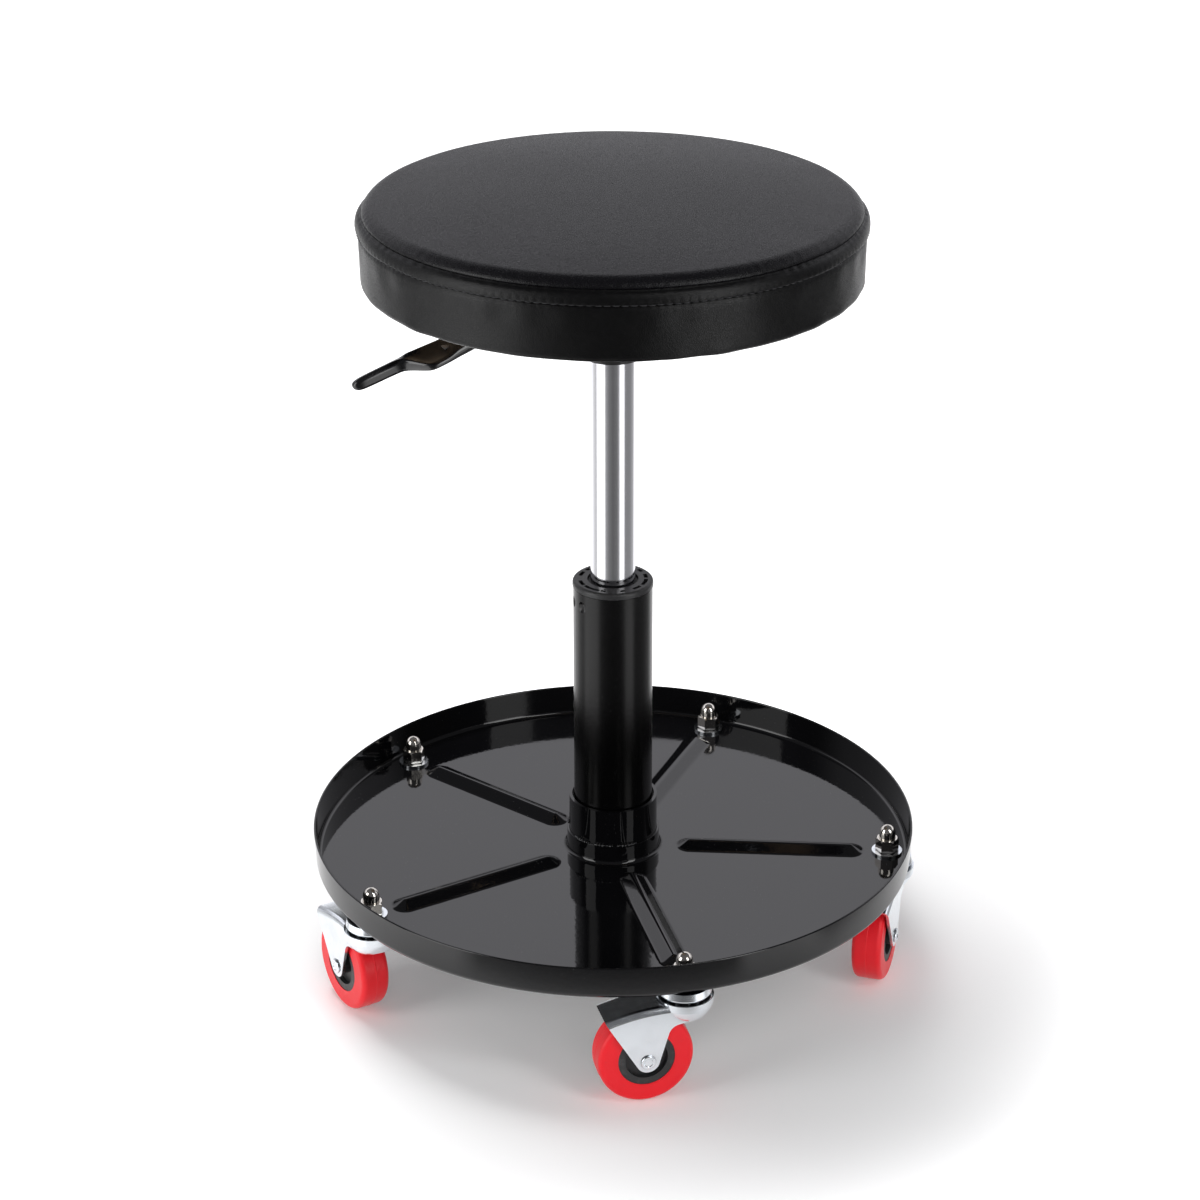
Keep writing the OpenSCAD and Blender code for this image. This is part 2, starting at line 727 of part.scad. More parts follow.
module caster_fork(k) {
    color(ZINC) at_caster(k) difference() {
        union() {
            difference() {
                intersection() {
                    arch(crown_r, leg_out, fold_r, crown_low_r, 0);
                    rotate([90, 0, 0]) linear_extrude(2 * leg_out + 2 * over, center = true)
                        polygon(leg_outline);
                }
                arch(crown_r - fork_t, leg_in, fold_r - fork_t, crown_low_r / 2, crown_reach_a / 6);
            }
            race_dish();
        }
        translate([0, 0, race_plate_z - over]) cylinder(r = king_d / 2 + run_gap, h = race_z);
        rotate([90, 0, 0]) translate([trail, axle_z, -leg_out - over])
            cylinder(r = axle_d / 2 + press_gap, h = 2 * leg_out + 2 * over);
        ball_groove();
    }
}

// Lower race with its bowl-shaped skirt, cut away where the wheel turns
dish_low_z = skirt_z - dish_drop;
dish_path = [for (p = arc([race_r - dish_r, dish_z], dish_r, 5, -75, 16)) if (p[1] > dish_low_z) p];
dish_inner = [for (p = arc([race_r - dish_r, dish_z], dish_r - fork_t, 5, -75, 16)) if (p[1] > dish_low_z) p];

module race_dish() {
    recess_r = ball_circle_r - ball_d / 2 - loose_gap;
    dish_cut = leg_in + fork_t / 2;
    difference() {
        union() {
            rotate_extrude() polygon([
                [king_d / 2 - over, race_plate_z],
                [race_r, race_plate_z],
                [race_r, race_z],
                [recess_r, race_z],
                [recess_r, race_plate_z + fork_t],
                [king_d / 2 - over, race_plate_z + fork_t]]);
            rotate_extrude() polygon(concat(dish_path, reversed(dish_inner)));
        }
        translate([-race_r / 3, -dish_cut, dish_low_z - 2 * over])
            cube([race_d, 2 * dish_cut, race_plate_z - dish_low_z + 2 * over]);
        translate([0, 0, dish_low_z]) rotate([0, 2 * skirt_slope, 0])
            translate([-race_d, -race_d, -race_d]) cube([2 * race_d, 2 * race_d, race_d]);
    }
}

module caster_axle(k) {
    head_round = 0.7;
    dimple_r = rivet_head_d * 0.32;
    dimple = 0.35;
    half = concat(
        [[0, 0], [axle_d / 2, 0], [axle_d / 2, leg_out], [rivet_head_d / 2, leg_out]],
        arc([rivet_head_d / 2 - head_round, leg_out + rivet_head_h - head_round], head_round, 0, 90, 4),
        [[dimple_r, leg_out + rivet_head_h],
         [dimple_r - dimple, leg_out + rivet_head_h - dimple],
         [0, leg_out + rivet_head_h - dimple]]);
    color(ZINC) at_caster(k) translate([trail, 0, axle_z]) for (s = [-1, 1])
        rotate([s * 90, 0, 0]) rotate_extrude($fn = 48) polygon(half);
}

// Wheel halves are revolved about the axle, so the first coordinate is the distance from it
module wheel_turned(k) {
    at_caster(k) translate([trail, 0, axle_z]) rotate([90, 0, 0]) rotate_extrude($fn = 144) children();
}

core_lip = 0.4;
core_ring_w = 4.5;
core_recess = 3.6;
core_boss_r = 6.2;

module wheel_core(k) {
    half_w = wheel_w / 2;
    core_r = core_d / 2 - press_gap;
    color(BLACK_PLASTIC) wheel_turned(k) polygon(concat(
        [[axle_d / 2 + run_gap, -half_w - leg_gap + loose_gap],
         [core_boss_r, -half_w - leg_gap + loose_gap],
         [core_boss_r, -half_w + core_recess],
         [core_r - core_ring_w, -half_w + core_recess],
         [core_r - core_ring_w, -half_w + core_lip],
         [core_r, -half_w + core_lip],
         [core_r, half_w - core_lip],
         [core_r - core_ring_w, half_w - core_lip],
         [core_r - core_ring_w, half_w - core_recess],
         [core_boss_r, half_w - core_recess],
         [core_boss_r, half_w + leg_gap - loose_gap],
         [axle_d / 2 + run_gap, half_w + leg_gap - loose_gap]]));
}

// The tread's mould leaves a fine raised line round its middle
parting_w = 1;
parting_h = 0.2;

module wheel_tread(k) {
    half_w = wheel_w / 2;
    wheel_r = wheel_d / 2;
    tread_r = wheel_r - parting_h;
    color(RED) wheel_turned(k) polygon(concat(
        [[core_d / 2, -half_w]],
        arc([tread_r - tread_corner_r, -half_w + tread_corner_r], tread_corner_r, 270, 360, 8),
        [[tread_r, -parting_w / 2], [wheel_r, 0], [tread_r, parting_w / 2]],
        arc([tread_r - tread_corner_r, half_w - tread_corner_r], tread_corner_r, 0, 90, 8),
        [[core_d / 2, half_w]]));
}

// Seat mechanism
module lift_cone() {
    cone_gap = press_gap;
    color(BLACK_PAINT) rotate_extrude() polygon([
        [cylinder_r + cone_gap, cone_seat_z],
        [cone_d / 2, cone_seat_z],
        [cone_d / 2, cylinder_top_z - housing_t - press_gap],
        [cylinder_r + cone_gap - (cone_l - housing_t) * cone_slope,
         cylinder_top_z - housing_t - press_gap]]);
}

// The housing is a channel under the plate. Its end lip carries the resting lever.
housing_z = cylinder_top_z - housing_t;
housing_back = 28;
lip_r = housing_l - housing_back;

module lever_housing() {
    out_w = housing_in_w + 2 * housing_t;
    lip_top = arm_z - arm_h / 2 - loose_gap;
    color(BLACK_PAINT) rotate(lever_a) difference() {
        union() {
            translate([-housing_back, -out_w / 2, housing_z]) cube([housing_l, out_w, housing_t]);
            for (s = [-1, 1])
                translate([-housing_back, s * (housing_in_w + housing_t) / 2 - housing_t / 2, housing_z])
                    cube([housing_l, housing_t, plate_z - housing_z]);
            translate([lip_r - housing_t, -out_w / 2, housing_z])
                cube([housing_t, out_w, lip_top - housing_z]);
            translate([-housing_back, -out_w / 2, housing_z])
                cube([housing_t, out_w, plate_z - housing_z]);
        }
        translate([0, 0, housing_z - over])
            cylinder(r = cylinder_tip_r + loose_gap, h = housing_t + 2 * over);
        translate([pivot_r, out_w / 2 + over, arm_z]) rotate([90, 0, 0])
            cylinder(r = pivot_d / 2 + press_gap, h = out_w + 2 * over);
    }
}

module seat_plate() {
    color(BLACK_PAINT) difference() {
        translate([0, 0, plate_z]) rotate(lever_a) linear_extrude(plate_t)
            rounded_square(plate_w, plate_corner_r);
        at_bolts() translate([0, 0, plate_z - over])
            cylinder(r = bolt_d / 2 + bolt_gap, h = plate_t + 2 * over);
    }
}

bolt_head_d = 13;
bolt_head_h = 4;
tee_flange_r = 9.5;
tee_flange_t = 1.4;
tee_barrel_r = 4.4;
tee_barrel_l = 8;

module seat_bolts() {
    head_round = 1.8;
    color(ZINC) at_bolts() rotate_extrude($fn = 48) polygon(concat(
        [[0, plate_z - bolt_head_h]],
        arc([bolt_head_d / 2 - head_round, plate_z - bolt_head_h + head_round], head_round, 270, 360, 5),
        [[bolt_head_d / 2, plate_z],
         [bolt_d / 2, plate_z],
         [bolt_d / 2, board_top_z - over],
         [0, board_top_z - over]]));
}

module tee_nuts() {
    color(ZINC) at_bolts() difference() {
        union() {
            translate([0, 0, board_top_z]) cylinder(r = tee_flange_r, h = tee_flange_t);
            translate([0, 0, board_top_z - tee_barrel_l]) cylinder(r = tee_barrel_r, h = tee_barrel_l);
        }
        translate([0, 0, board_top_z - tee_barrel_l - over])
            cylinder(r = bolt_d / 2 + press_gap, h = tee_barrel_l + tee_flange_t + 2 * over);
    }
}

// Lever. In its own frame +X points outwards.
arm_nose = 6;
arm_in_grip = 46;
slope_dir = [cos(lever_slope), -sin(lever_slope)];

module at_slope() {
    rotate(lever_a) translate([bend_r, 0, arm_z]) rotate([0, lever_slope, 0]) children();
}

module arm_blank(extra) {
    bend_in = arm_h / 2 * tan(lever_slope / 2);
    reach = (arm_in_grip + extra) * slope_dir;
    up = (arm_h / 2 + extra) * [sin(lever_slope), cos(lever_slope)];
    rotate(lever_a) rotate([90, 0, 0]) linear_extrude(arm_t + 2 * extra, center = true) polygon([
        [-arm_nose, arm_z - arm_h / 2 - extra],
        [bend_r - bend_in, arm_z - arm_h / 2 - extra],
        [bend_r, arm_z] + reach - up,
        [bend_r, arm_z] + reach + up,
        [bend_r + bend_in, arm_z + arm_h / 2 + extra],
        [-arm_nose, arm_z + arm_h / 2 + extra]]);
}

module lever_arm() {
    color(STEEL) difference() {
        arm_blank(0);
        rotate(lever_a) translate([pivot_r, arm_t / 2 + over, arm_z]) rotate([90, 0, 0])
            cylinder(r = pivot_d / 2 + run_gap, h = arm_t + 2 * over);
    }
}

// The grip: a paddle round the arm's end, a narrow finger bar beside it and a shallow thumb cup
module lever_grip() {
    tip = (lever_reach - bend_r) / cos(lever_slope);
    paddle_end = tip * 0.56;
    paddle_start = tip * 0.24;
    bar_start = tip * 0.64;
    bar_r = grip_w / 2;
    cup_r = 34;
    cup_depth = 1.3;
    color(BLACK_PLASTIC) difference() {
        at_slope() {
            hull() {
                for (y = [-1, 1]) {
                    translate([paddle_start, y * (paddle_w / 2 - grip_edge_r), 0])
                        sphere(r = grip_edge_r, $fn = 24);
                    translate([paddle_end, y * (paddle_w / 2 - grip_edge_r), 0])
                        sphere(r = grip_edge_r, $fn = 24);
                    translate([paddle_start, y * (arm_t / 2 + grip_edge_r / 2), 0])
                        sphere(r = grip_edge_r + arm_h / 8, $fn = 24);
                }
            }
            hull() {
                translate([paddle_end, -paddle_w / 2 + grip_edge_r, 0]) sphere(r = grip_edge_r, $fn = 24);
                translate([paddle_end, paddle_w / 4 - grip_edge_r, 0]) sphere(r = grip_edge_r, $fn = 24);
                translate([bar_start, -grip_offset + grip_edge_r / 2, 0]) sphere(r = bar_r, $fn = 24);
            }
            hull() {
                translate([bar_start, -grip_offset + grip_edge_r / 2, 0]) sphere(r = bar_r, $fn = 24);
                translate([tip - bar_r * 0.8, -grip_offset, 0]) sphere(r = bar_r * 0.8, $fn = 24);
            }
        }
        at_slope() translate([paddle_end * 0.86, 0, grip_edge_r + cup_r - cup_depth]) sphere(r = cup_r);
        arm_blank(press_gap);
    }
}

module lever_pin() {
    span = housing_in_w / 2 + housing_t + press_gap;
    head = 1.2;
    color(ZINC) rotate(lever_a) translate([pivot_r, 0, arm_z]) for (s = [-1, 1])
        rotate([s * 90, 0, 0]) rotate_extrude($fn = 48) polygon([
            [0, 0],
            [pivot_d / 2, 0],
            [pivot_d / 2, span],
            [pivot_d / 2 + head, span],
            [pivot_d / 2 + head, span + head],
            [0, span + head]]);
}

// Seat
board_r = band_r - skin_t - skin_gap - waist_in;

module seat_board() {
    edge_r = roll_r - skin_t;
    color(PLY) difference() {
        rotate_extrude() polygon(concat(
            [[0, board_z]],
            arc([board_r - edge_r, board_z + edge_r], edge_r, 270, 360, 4),
            [[board_r, board_top_z], [0, board_top_z]]));
        at_bolts() translate([0, 0, board_z - over])
            cylinder(r = tee_barrel_r + press_gap, h = board_t + 2 * over);
    }
}

// Path of the cover's outer face, drawn in by a distance
function top_path(d) = concat(
    arc([0, crown_top_z - dome_r], dome_r - d, 90, 90 - dome_a, 8),
    arc([shoulder_x, shoulder_z_mid], shoulder_r - d, 90 - dome_a, seam_a, 9));
band_top_z = binding_z - skin_gap;
function band_path(d) = concat(
    bow([band_r - waist_in - d, band_top_z], [band_r - d, band_top_z - roll_r],
        [band_r - waist_in / 5 - d, band_top_z - 3 * roll_r], 5),
    bow([band_r - waist_in / 5 - d, band_top_z - 3 * roll_r],
        [band_r - waist_in / 3 - d, (band_top_z - 3 * roll_r + board_z + roll_r) / 2],
        [band_r - waist_in / 2 - d, board_z + roll_r], 5),
    arc([band_r - waist_in / 2 - roll_r, hem_z + roll_r], roll_r - d, 0, -90, 5));

module seat_top_panel() {
    color(VINYL) rotate_extrude($fn = 180)
        polygon(concat(top_path(0), reversed(top_path(skin_t))));
}

module seat_binding() {
    edge_r = 0.9;
    foot_w = 3.2;
    top_z = seam_z - panel_edge - skin_gap;
    color(VINYL) rotate_extrude($fn = 180) polygon(concat(
        [[seam_r - skin_t, top_z]],
        arc([seam_r, top_z - edge_r], edge_r, 90, 0, 3),
        bow([seam_r + edge_r, top_z - edge_r], [seat_r, top_z - binding_h / 4],
            [seat_r, binding_z + edge_r], 6),
        arc([seat_r - edge_r, binding_z + edge_r], edge_r, 0, -90, 3),
        [[seat_r - foot_w, binding_z]]));
}

module seat_side_band() {
    hem_r = band_r - waist_in / 2 - hem_w;
    color(VINYL) rotate_extrude($fn = 180) polygon(concat(
        band_path(0),
        [[hem_r, hem_z], [hem_r, hem_z + skin_t]],
        reversed(band_path(skin_t))));
}

module seat_foam() {
    neck_r = seam_r - skin_t - 2 * skin_gap;
    foam_r = board_r - skin_gap;
    color(FOAM) difference() {
        rotate_extrude($fn = 180) polygon(concat(
            [for (p = top_path(skin_t + skin_gap)) if (p[0] < neck_r) p],
            [[neck_r, seam_z - panel_edge - skin_gap],
             [foam_r, binding_z],
             [foam_r, board_top_z],
             [0, board_top_z]]));
        at_bolts() translate([0, 0, board_top_z - over])
            cylinder(r = tee_flange_r + loose_gap, h = tee_flange_t + loose_gap + over);
    }
}

tray();
column_socket();
socket_welds();
column_tube();
column_cap();
wiper_ring();
bearing_lower_race();
bearing_balls();
bearing_upper_race();
rubber_buffer();
buffer_washer();
rod_clip();
piston_rod();
piston();
gas_cylinder();
cylinder_gland();
valve_body();
release_pin();
stud_washers();
acorn_nuts();
caster_balls();
lift_cone();
lever_housing();
seat_plate();
seat_bolts();
tee_nuts();
lever_arm();
lever_grip();
lever_pin();
seat_board();
seat_foam();
seat_top_panel();
seat_binding();
seat_side_band();
caster_stem(0);  // caster_stem_1
caster_fork(0);  // caster_fork_1
caster_axle(0);  // caster_axle_1
wheel_core(0);  // wheel_core_1
wheel_tread(0);  // wheel_tread_1
caster_stem(1);  // caster_stem_2
caster_fork(1);  // caster_fork_2
caster_axle(1);  // caster_axle_2
wheel_core(1);  // wheel_core_2
wheel_tread(1);  // wheel_tread_2
caster_stem(2);  // caster_stem_3
caster_fork(2);  // caster_fork_3
caster_axle(2);  // caster_axle_3
wheel_core(2);  // wheel_core_3
wheel_tread(2);  // wheel_tread_3
caster_stem(3);  // caster_stem_4
caster_fork(3);  // caster_fork_4
caster_axle(3);  // caster_axle_4
wheel_core(3);  // wheel_core_4
wheel_tread(3);  // wheel_tread_4
caster_stem(4);  // caster_stem_5
caster_fork(4);  // caster_fork_5
caster_axle(4);  // caster_axle_5
wheel_core(4);  // wheel_core_5
wheel_tread(4);  // wheel_tread_5
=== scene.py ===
import math

import bmesh
import bpy
import numpy as np
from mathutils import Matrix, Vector


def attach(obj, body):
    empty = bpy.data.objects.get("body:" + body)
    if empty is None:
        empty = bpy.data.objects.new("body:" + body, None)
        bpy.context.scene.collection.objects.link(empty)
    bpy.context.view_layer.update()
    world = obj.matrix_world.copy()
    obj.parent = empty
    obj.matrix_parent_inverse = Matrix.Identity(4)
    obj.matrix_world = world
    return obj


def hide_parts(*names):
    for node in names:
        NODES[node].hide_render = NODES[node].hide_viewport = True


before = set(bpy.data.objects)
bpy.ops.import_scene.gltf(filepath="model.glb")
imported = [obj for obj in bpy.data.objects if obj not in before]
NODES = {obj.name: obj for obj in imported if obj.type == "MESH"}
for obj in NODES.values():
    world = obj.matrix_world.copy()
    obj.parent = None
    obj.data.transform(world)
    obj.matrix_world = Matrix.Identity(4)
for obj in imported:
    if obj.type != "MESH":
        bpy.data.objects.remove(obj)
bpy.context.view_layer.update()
CASTERS = range(1, 6)
SEED = 11

# Camera, solved from the tray's rim, the studs and the column in the photograph
CAMERA_AT = (0.0, -1.835, 1.0801)
CAMERA_PITCH = 24.391
CAMERA_ROLL = 0.045
CAMERA_LENS = 96.465
CAMERA_SHIFT_X = -0.0099

# Seat cover, in metres and degrees
CROWN_Z = 0.5184
DOME_R = 1.17253
DOME_TILT = 6.925
SHOULDER_X, SHOULDER_Z, SHOULDER_R = 0.1401, 0.49932, 0.0106
SEAM_R, SEAM_Z, SEAM_LEAN = 0.14897, 0.50512, 33.17
SEAT_R = 0.153
BINDING_Z = 0.49512
BAND_TOP_R = 0.15036
BAND_BOW = [(0.15148, 0.4918), (0.15151, 0.4885), (0.15145, 0.4858), (0.15132, 0.4830), (0.15120, 0.4785),
            (0.15111, 0.4742), (0.15103, 0.4700), (0.15096, 0.4662)]
BOARD_TOP_Z = 0.474
SKIN = 0.0012
BINDING_SKIN = 0.00096
TUCK_ROLL = 0.0014
EDGE_ROLL = 0.0009
BINDING_HEAD_Z = 0.50282
BINDING_BOW_Z = 0.50132
HEM_Z = 0.4607
HEM_R = 0.13096
BAND_FOOT_R = 0.14696
BAND_ROLL = 0.004
STITCH_PITCH = 0.005
STITCHES = int(round(2 * math.pi * SEAT_R / STITCH_PITCH))
STAPLES = 36
STAPLE_RING_R = 0.1375
THREAD_R, WIRE_R = 0.00036, 0.00035

# Foam pad under the cover, in metres
PAD_INSET = 0.0040
PAD_R = 0.1465
PAD_VOXEL = 0.005
PAD_SWELL = 0.0009

# Pressed tray, in metres and degrees
SHEET = 0.0014
TRAY_Z = 0.074
NECK_OUT_R, NECK_TOP_Z, NECK_FILLET_R = 0.02968, 0.0882, 0.003
RIM_EDGE_R, RIM_TOP_Z = 0.1928, 0.0958
RIM_BEND_R, RIM_LEAN = 0.0026, 2.4
RIB_START, RIB_END, RIB_HALF_W, RIB_H = 0.040, 0.163, 0.010, 0.0045
RIB_CREST_R, RIB_FOOT_R = 0.004, 0.005
RIB_ANGLES = [-4 + 72 * k for k in range(5)]
STUD_RING_R, STUD_HOLE_R = 0.177, 0.00435
LIP_R = 0.0002
# Patch of the floor round each stud: cells round the tray, cells outwards, and half its width outwards
PATCH_COLS, PATCH_ROWS, PATCH_HALF = 20, 6, 0.0075
# Angles from a rib's middle, each span with its step
RIB_STEPS = [(-36, -12, 1.5), (-12, -4, 0.5), (-4, 4, 0.25), (4, 12, 0.5), (12, 36, 1.5)]


# Shared effects

def socket(group, name, kind, way, value=None):
    made = group.interface.new_socket(name=name, in_out=way, socket_type="NodeSocket" + kind)
    if value is not None:
        made.default_value = value
    return made


class Nodes:
    """Short calls to add and join the nodes of one material or group."""

    def __init__(self, tree):
        self.tree = tree

    def add(self, kind, **values):
        node = self.tree.nodes.new(kind)
        for key, value in values.items():
            setattr(node, key, value)
        return node

    def join(self, out, into):
        self.tree.links.new(out, into)

    def feed(self, target, value):
        """Joins a socket to the target, or writes a plain value on it."""
        if hasattr(value, "is_output"):
            self.join(value, target)
        else:
            target.default_value = value

    def put(self, node, **inputs):
        for key, value in inputs.items():
            self.feed(node.inputs[key.replace("_", " ")], value)
        return node

    def math(self, operation, a, b, clamp=False):
        node = self.add("ShaderNodeMath", operation=operation, use_clamp=clamp)
        for target, value in zip(node.inputs, (a, b)):
            self.feed(target, value)
        return node.outputs[0]

    def noise(self, vector, scale, detail=3.0, rough=0.5, distort=0.0):
        node = self.add("ShaderNodeTexNoise")
        self.put(node, Vector=vector, Scale=scale, Detail=detail, Roughness=rough, Distortion=distort)
        return node.outputs["Fac"]

    def ramp(self, fac, low, high, out_low=0.0, out_high=1.0):
        node = self.add("ShaderNodeMapRange")
        node.interpolation_type = "SMOOTHSTEP"
        self.join(fac, node.inputs["Value"])
        self.put(node, From_Min=low, From_Max=high, To_Min=out_low, To_Max=out_high)
        return node.outputs["Result"]

    def mix(self, fac, a, b):
        node = self.add("ShaderNodeMix", data_type="RGBA")
        for slot, value in ((0, fac), (6, a), (7, b)):
            self.feed(node.inputs[slot], value)
        return node.outputs[2]

    def place(self):
        """The point's own place on the piece, which moves with it."""
        return self.add("ShaderNodeTexCoord").outputs["Object"]

    def stretched(self, vector, by):
        node = self.add("ShaderNodeVectorMath", operation="MULTIPLY")
        self.join(vector, node.inputs[0])
        node.inputs[1].default_value = by
        return node.outputs[0]


def new_group(name, inputs, outputs):
    group = bpy.data.node_groups.new(name, "ShaderNodeTree")
    for label, kind, value in inputs:
        socket(group, label, kind, "INPUT", value)
    for label, kind in outputs:
        socket(group, label, kind, "OUTPUT")
    kit = Nodes(group)
    return group, kit, kit.add("NodeGroupInput"), kit.add("NodeGroupOutput")


def vinyl_grain_group():
    """Pebbled vinyl: small rounded cells with fine creases between them, and slow waves of tone."""
    group, kit, src, out = new_group(
        "vinyl_grain",
        [("Cells per metre", "Float", 900.0), ("Depth", "Float", 1.0)],
        [("Height", "Float"), ("Crease", "Float"), ("Tone", "Float")])
    place = kit.place()
    bend = kit.put(kit.add("ShaderNodeTexNoise"), Vector=place, Scale=260.0, Detail=2.0)
    warped = kit.add("ShaderNodeMix", data_type="VECTOR")
    for slot, value in ((0, 0.0016), (4, place), (5, bend.outputs["Color"])):
        kit.feed(warped.inputs[slot], value)
    cells = kit.add("ShaderNodeTexVoronoi", feature="DISTANCE_TO_EDGE")
    kit.put(cells, Vector=warped.outputs[1], Scale=src.outputs["Cells per metre"])
    crease = kit.ramp(cells.outputs["Distance"], 0.0, 0.22)
    pores = kit.noise(place, 2600.0, 2.0, 0.6)
    height = kit.math("ADD", kit.math("MULTIPLY", crease, 0.7), kit.math("MULTIPLY", pores, 0.3))
    kit.put(out, Height=kit.math("MULTIPLY", height, src.outputs["Depth"]), Crease=crease,
            Tone=kit.noise(place, 14.0, 4.0, 0.55))
    return group


def paint_group():
    """Baked paint: faint orange peel, dust specks and soft handling marks."""
    group, kit, src, out = new_group(
        "baked_paint",
        [("Peel", "Float", 1.0), ("Dust", "Float", 1.0)],
        [("Height", "Float"), ("Marks", "Float"), ("Specks", "Float")])
    place = kit.place()
    peel = kit.noise(place, 330.0, 2.0, 0.5)
    marks = kit.noise(place, 9.0, 5.0, 0.6, 0.4)
    specks = kit.put(kit.add("ShaderNodeTexVoronoi", feature="F1"), Vector=place, Scale=420.0)
    spots = kit.ramp(specks.outputs["Distance"], 0.02, 0.09, 1.0, 0.0)
    thin = kit.ramp(kit.noise(place, 35.0, 2.0), 0.5, 0.62)
    kit.put(out, Height=kit.math("MULTIPLY", peel, src.outputs["Peel"]), Marks=kit.ramp(marks, 0.42, 0.75),
            Specks=kit.math("MULTIPLY", kit.math("MULTIPLY", spots, thin), src.outputs["Dust"]))
    return group


def turned_steel_group():
    """Ground or turned metal: rings of fine scratches round the vertical axis, and slow bands."""
    group, kit, src, out = new_group(
        "turned_steel",
        [("Lines per metre", "Float", 2400.0)],
        [("Height", "Float"), ("Bands", "Float"), ("Lines", "Float")])
    rings = kit.stretched(kit.place(), (0.012, 0.012, 1.0))
    lines = kit.noise(rings, src.outputs["Lines per metre"])
    kit.put(out, Height=lines, Lines=lines, Bands=kit.noise(rings, 60.0))
    return group


def plated_group():
    """Zinc or nickel plating on pressed sheet: cloudy patches, fine rolling lines and a few nicks."""
    group, kit, src, out = new_group(
        "plated_sheet",
        [("Patch scale", "Float", 120.0), ("Nicks", "Float", 1.0)],
        [("Height", "Float"), ("Cloud", "Float"), ("Scratch", "Float")])
    place = kit.place()
    streaks = kit.noise(kit.stretched(place, (1.0, 0.08, 0.6)), 900.0, 2.0)
    nick = kit.ramp(streaks, 0.66, 0.74)
    dents = kit.noise(place, 75.0, 2.0)
    kit.put(out, Height=kit.math("ADD", dents, kit.math("MULTIPLY", nick, -0.15)),
            Cloud=kit.noise(place, src.outputs["Patch scale"], 5.0, 0.6),
            Scratch=kit.math("MULTIPLY", nick, src.outputs["Nicks"]))
    return group


def edge_wear_group():
    """A mask of worn outer edges, broken up by noise."""
    group, kit, src, out = new_group(
        "edge_wear",
        [("Reach", "Float", 1.0)],
        [("Mask", "Float")])
    place = kit.place()
    point = kit.add("ShaderNodeNewGeometry").outputs["Pointiness"]
    edge = kit.ramp(point, 0.53, 0.60)
    broken = kit.ramp(kit.noise(place, 180.0, 4.0, 0.7), 0.5, 0.7)
    kit.put(out, Mask=kit.math("MULTIPLY", kit.math("MULTIPLY", edge, broken), src.outputs["Reach"]))
    return group


VINYL_GRAIN = vinyl_grain_group()
BAKED_PAINT = paint_group()
TURNED_STEEL = turned_steel_group()
PLATED_SHEET = plated_group()
EDGE_WEAR = edge_wear_group()


# Finishes

def new_finish(name, **plain):
    finish = bpy.data.materials.new(name)
    finish.use_nodes = True
    kit = Nodes(finish.node_tree)
    return finish, kit, kit.put(finish.node_tree.nodes["Principled BSDF"], **plain)


def placed(kit, group, **inputs):
    """A shared effect in one material or group, with its own values."""
    node = kit.add("ShaderNodeGroup")
    node.node_tree = group
    return kit.put(node, **inputs)


def bumped(kit, shader, height, distance, strength=1.0):
    """Fine relief on a finish, its depth in metres."""
    bump = kit.put(kit.add("ShaderNodeBump"), Distance=distance, Strength=strength, Height=height)
    kit.join(bump.outputs["Normal"], shader.inputs["Normal"])


def darker(tint, share):
    """That share of a tint, as a colour with alpha."""
    return (*[c * share for c in tint], 1)


def paint(name, dark, light, gloss, dust, peel_depth, ior=1.5):
    """Baked black paint between two tones, with its roughness where it is clean and some dust."""
    finish, kit, shader = new_finish(name, IOR=ior)
    work = placed(kit, BAKED_PAINT, Dust=dust)
    tone = kit.mix(work.outputs["Marks"], (*dark, 1), (*light, 1))
    handled = kit.ramp(work.outputs["Marks"], 0.0, 1.0, gloss, gloss + 0.06)
    kit.put(shader, Base_Color=kit.mix(work.outputs["Specks"], tone, (0.16, 0.16, 0.16, 1)),
            Roughness=kit.math("ADD", handled, kit.math("MULTIPLY", work.outputs["Specks"], 0.3)))
    bumped(kit, shader, work.outputs["Height"], peel_depth)
    return finish


def vinyl(name, dark, light, rough, depth):
    """Grained vinyl, duller in the creases, with painted shade that darkens them."""
    finish, kit, shader = new_finish(name, IOR=1.34)
    work = placed(kit, VINYL_GRAIN, Cells_per_metre=850.0)
    tone = kit.mix(work.outputs["Tone"], (*dark, 1), (*light, 1))
    # Painted shade: the grain's creases take a darker colour.
    kit.put(shader, Base_Color=kit.mix(work.outputs["Crease"], darker(dark, 0.45), tone),
            Roughness=kit.ramp(work.outputs["Crease"], 0.0, 1.0, rough + 0.14, rough))
    bumped(kit, shader, work.outputs["Height"], depth)
    return finish


def steel(name, tint, rough, lines, depth, bands=0.12, ground_round=0.0):
    """Turned or ground steel, with its lines a metre and how far its bands darken."""
    finish, kit, shader = new_finish(name, Metallic=1.0, Anisotropic=ground_round)
    if ground_round:
        around = kit.add("ShaderNodeTangent", direction_type="RADIAL", axis="Z")
        kit.join(around.outputs["Tangent"], shader.inputs["Tangent"])
    work = placed(kit, TURNED_STEEL, Lines_per_metre=lines)
    light = (*[min(1.0, c * 1.08) for c in tint], 1)
    kit.put(shader, Base_Color=kit.mix(work.outputs["Bands"], darker(tint, 1 - bands), light),
            Roughness=kit.ramp(work.outputs["Lines"], 0.3, 0.7, rough * 0.8, rough * 1.25))
    bumped(kit, shader, work.outputs["Height"], depth, 0.6)
    return finish


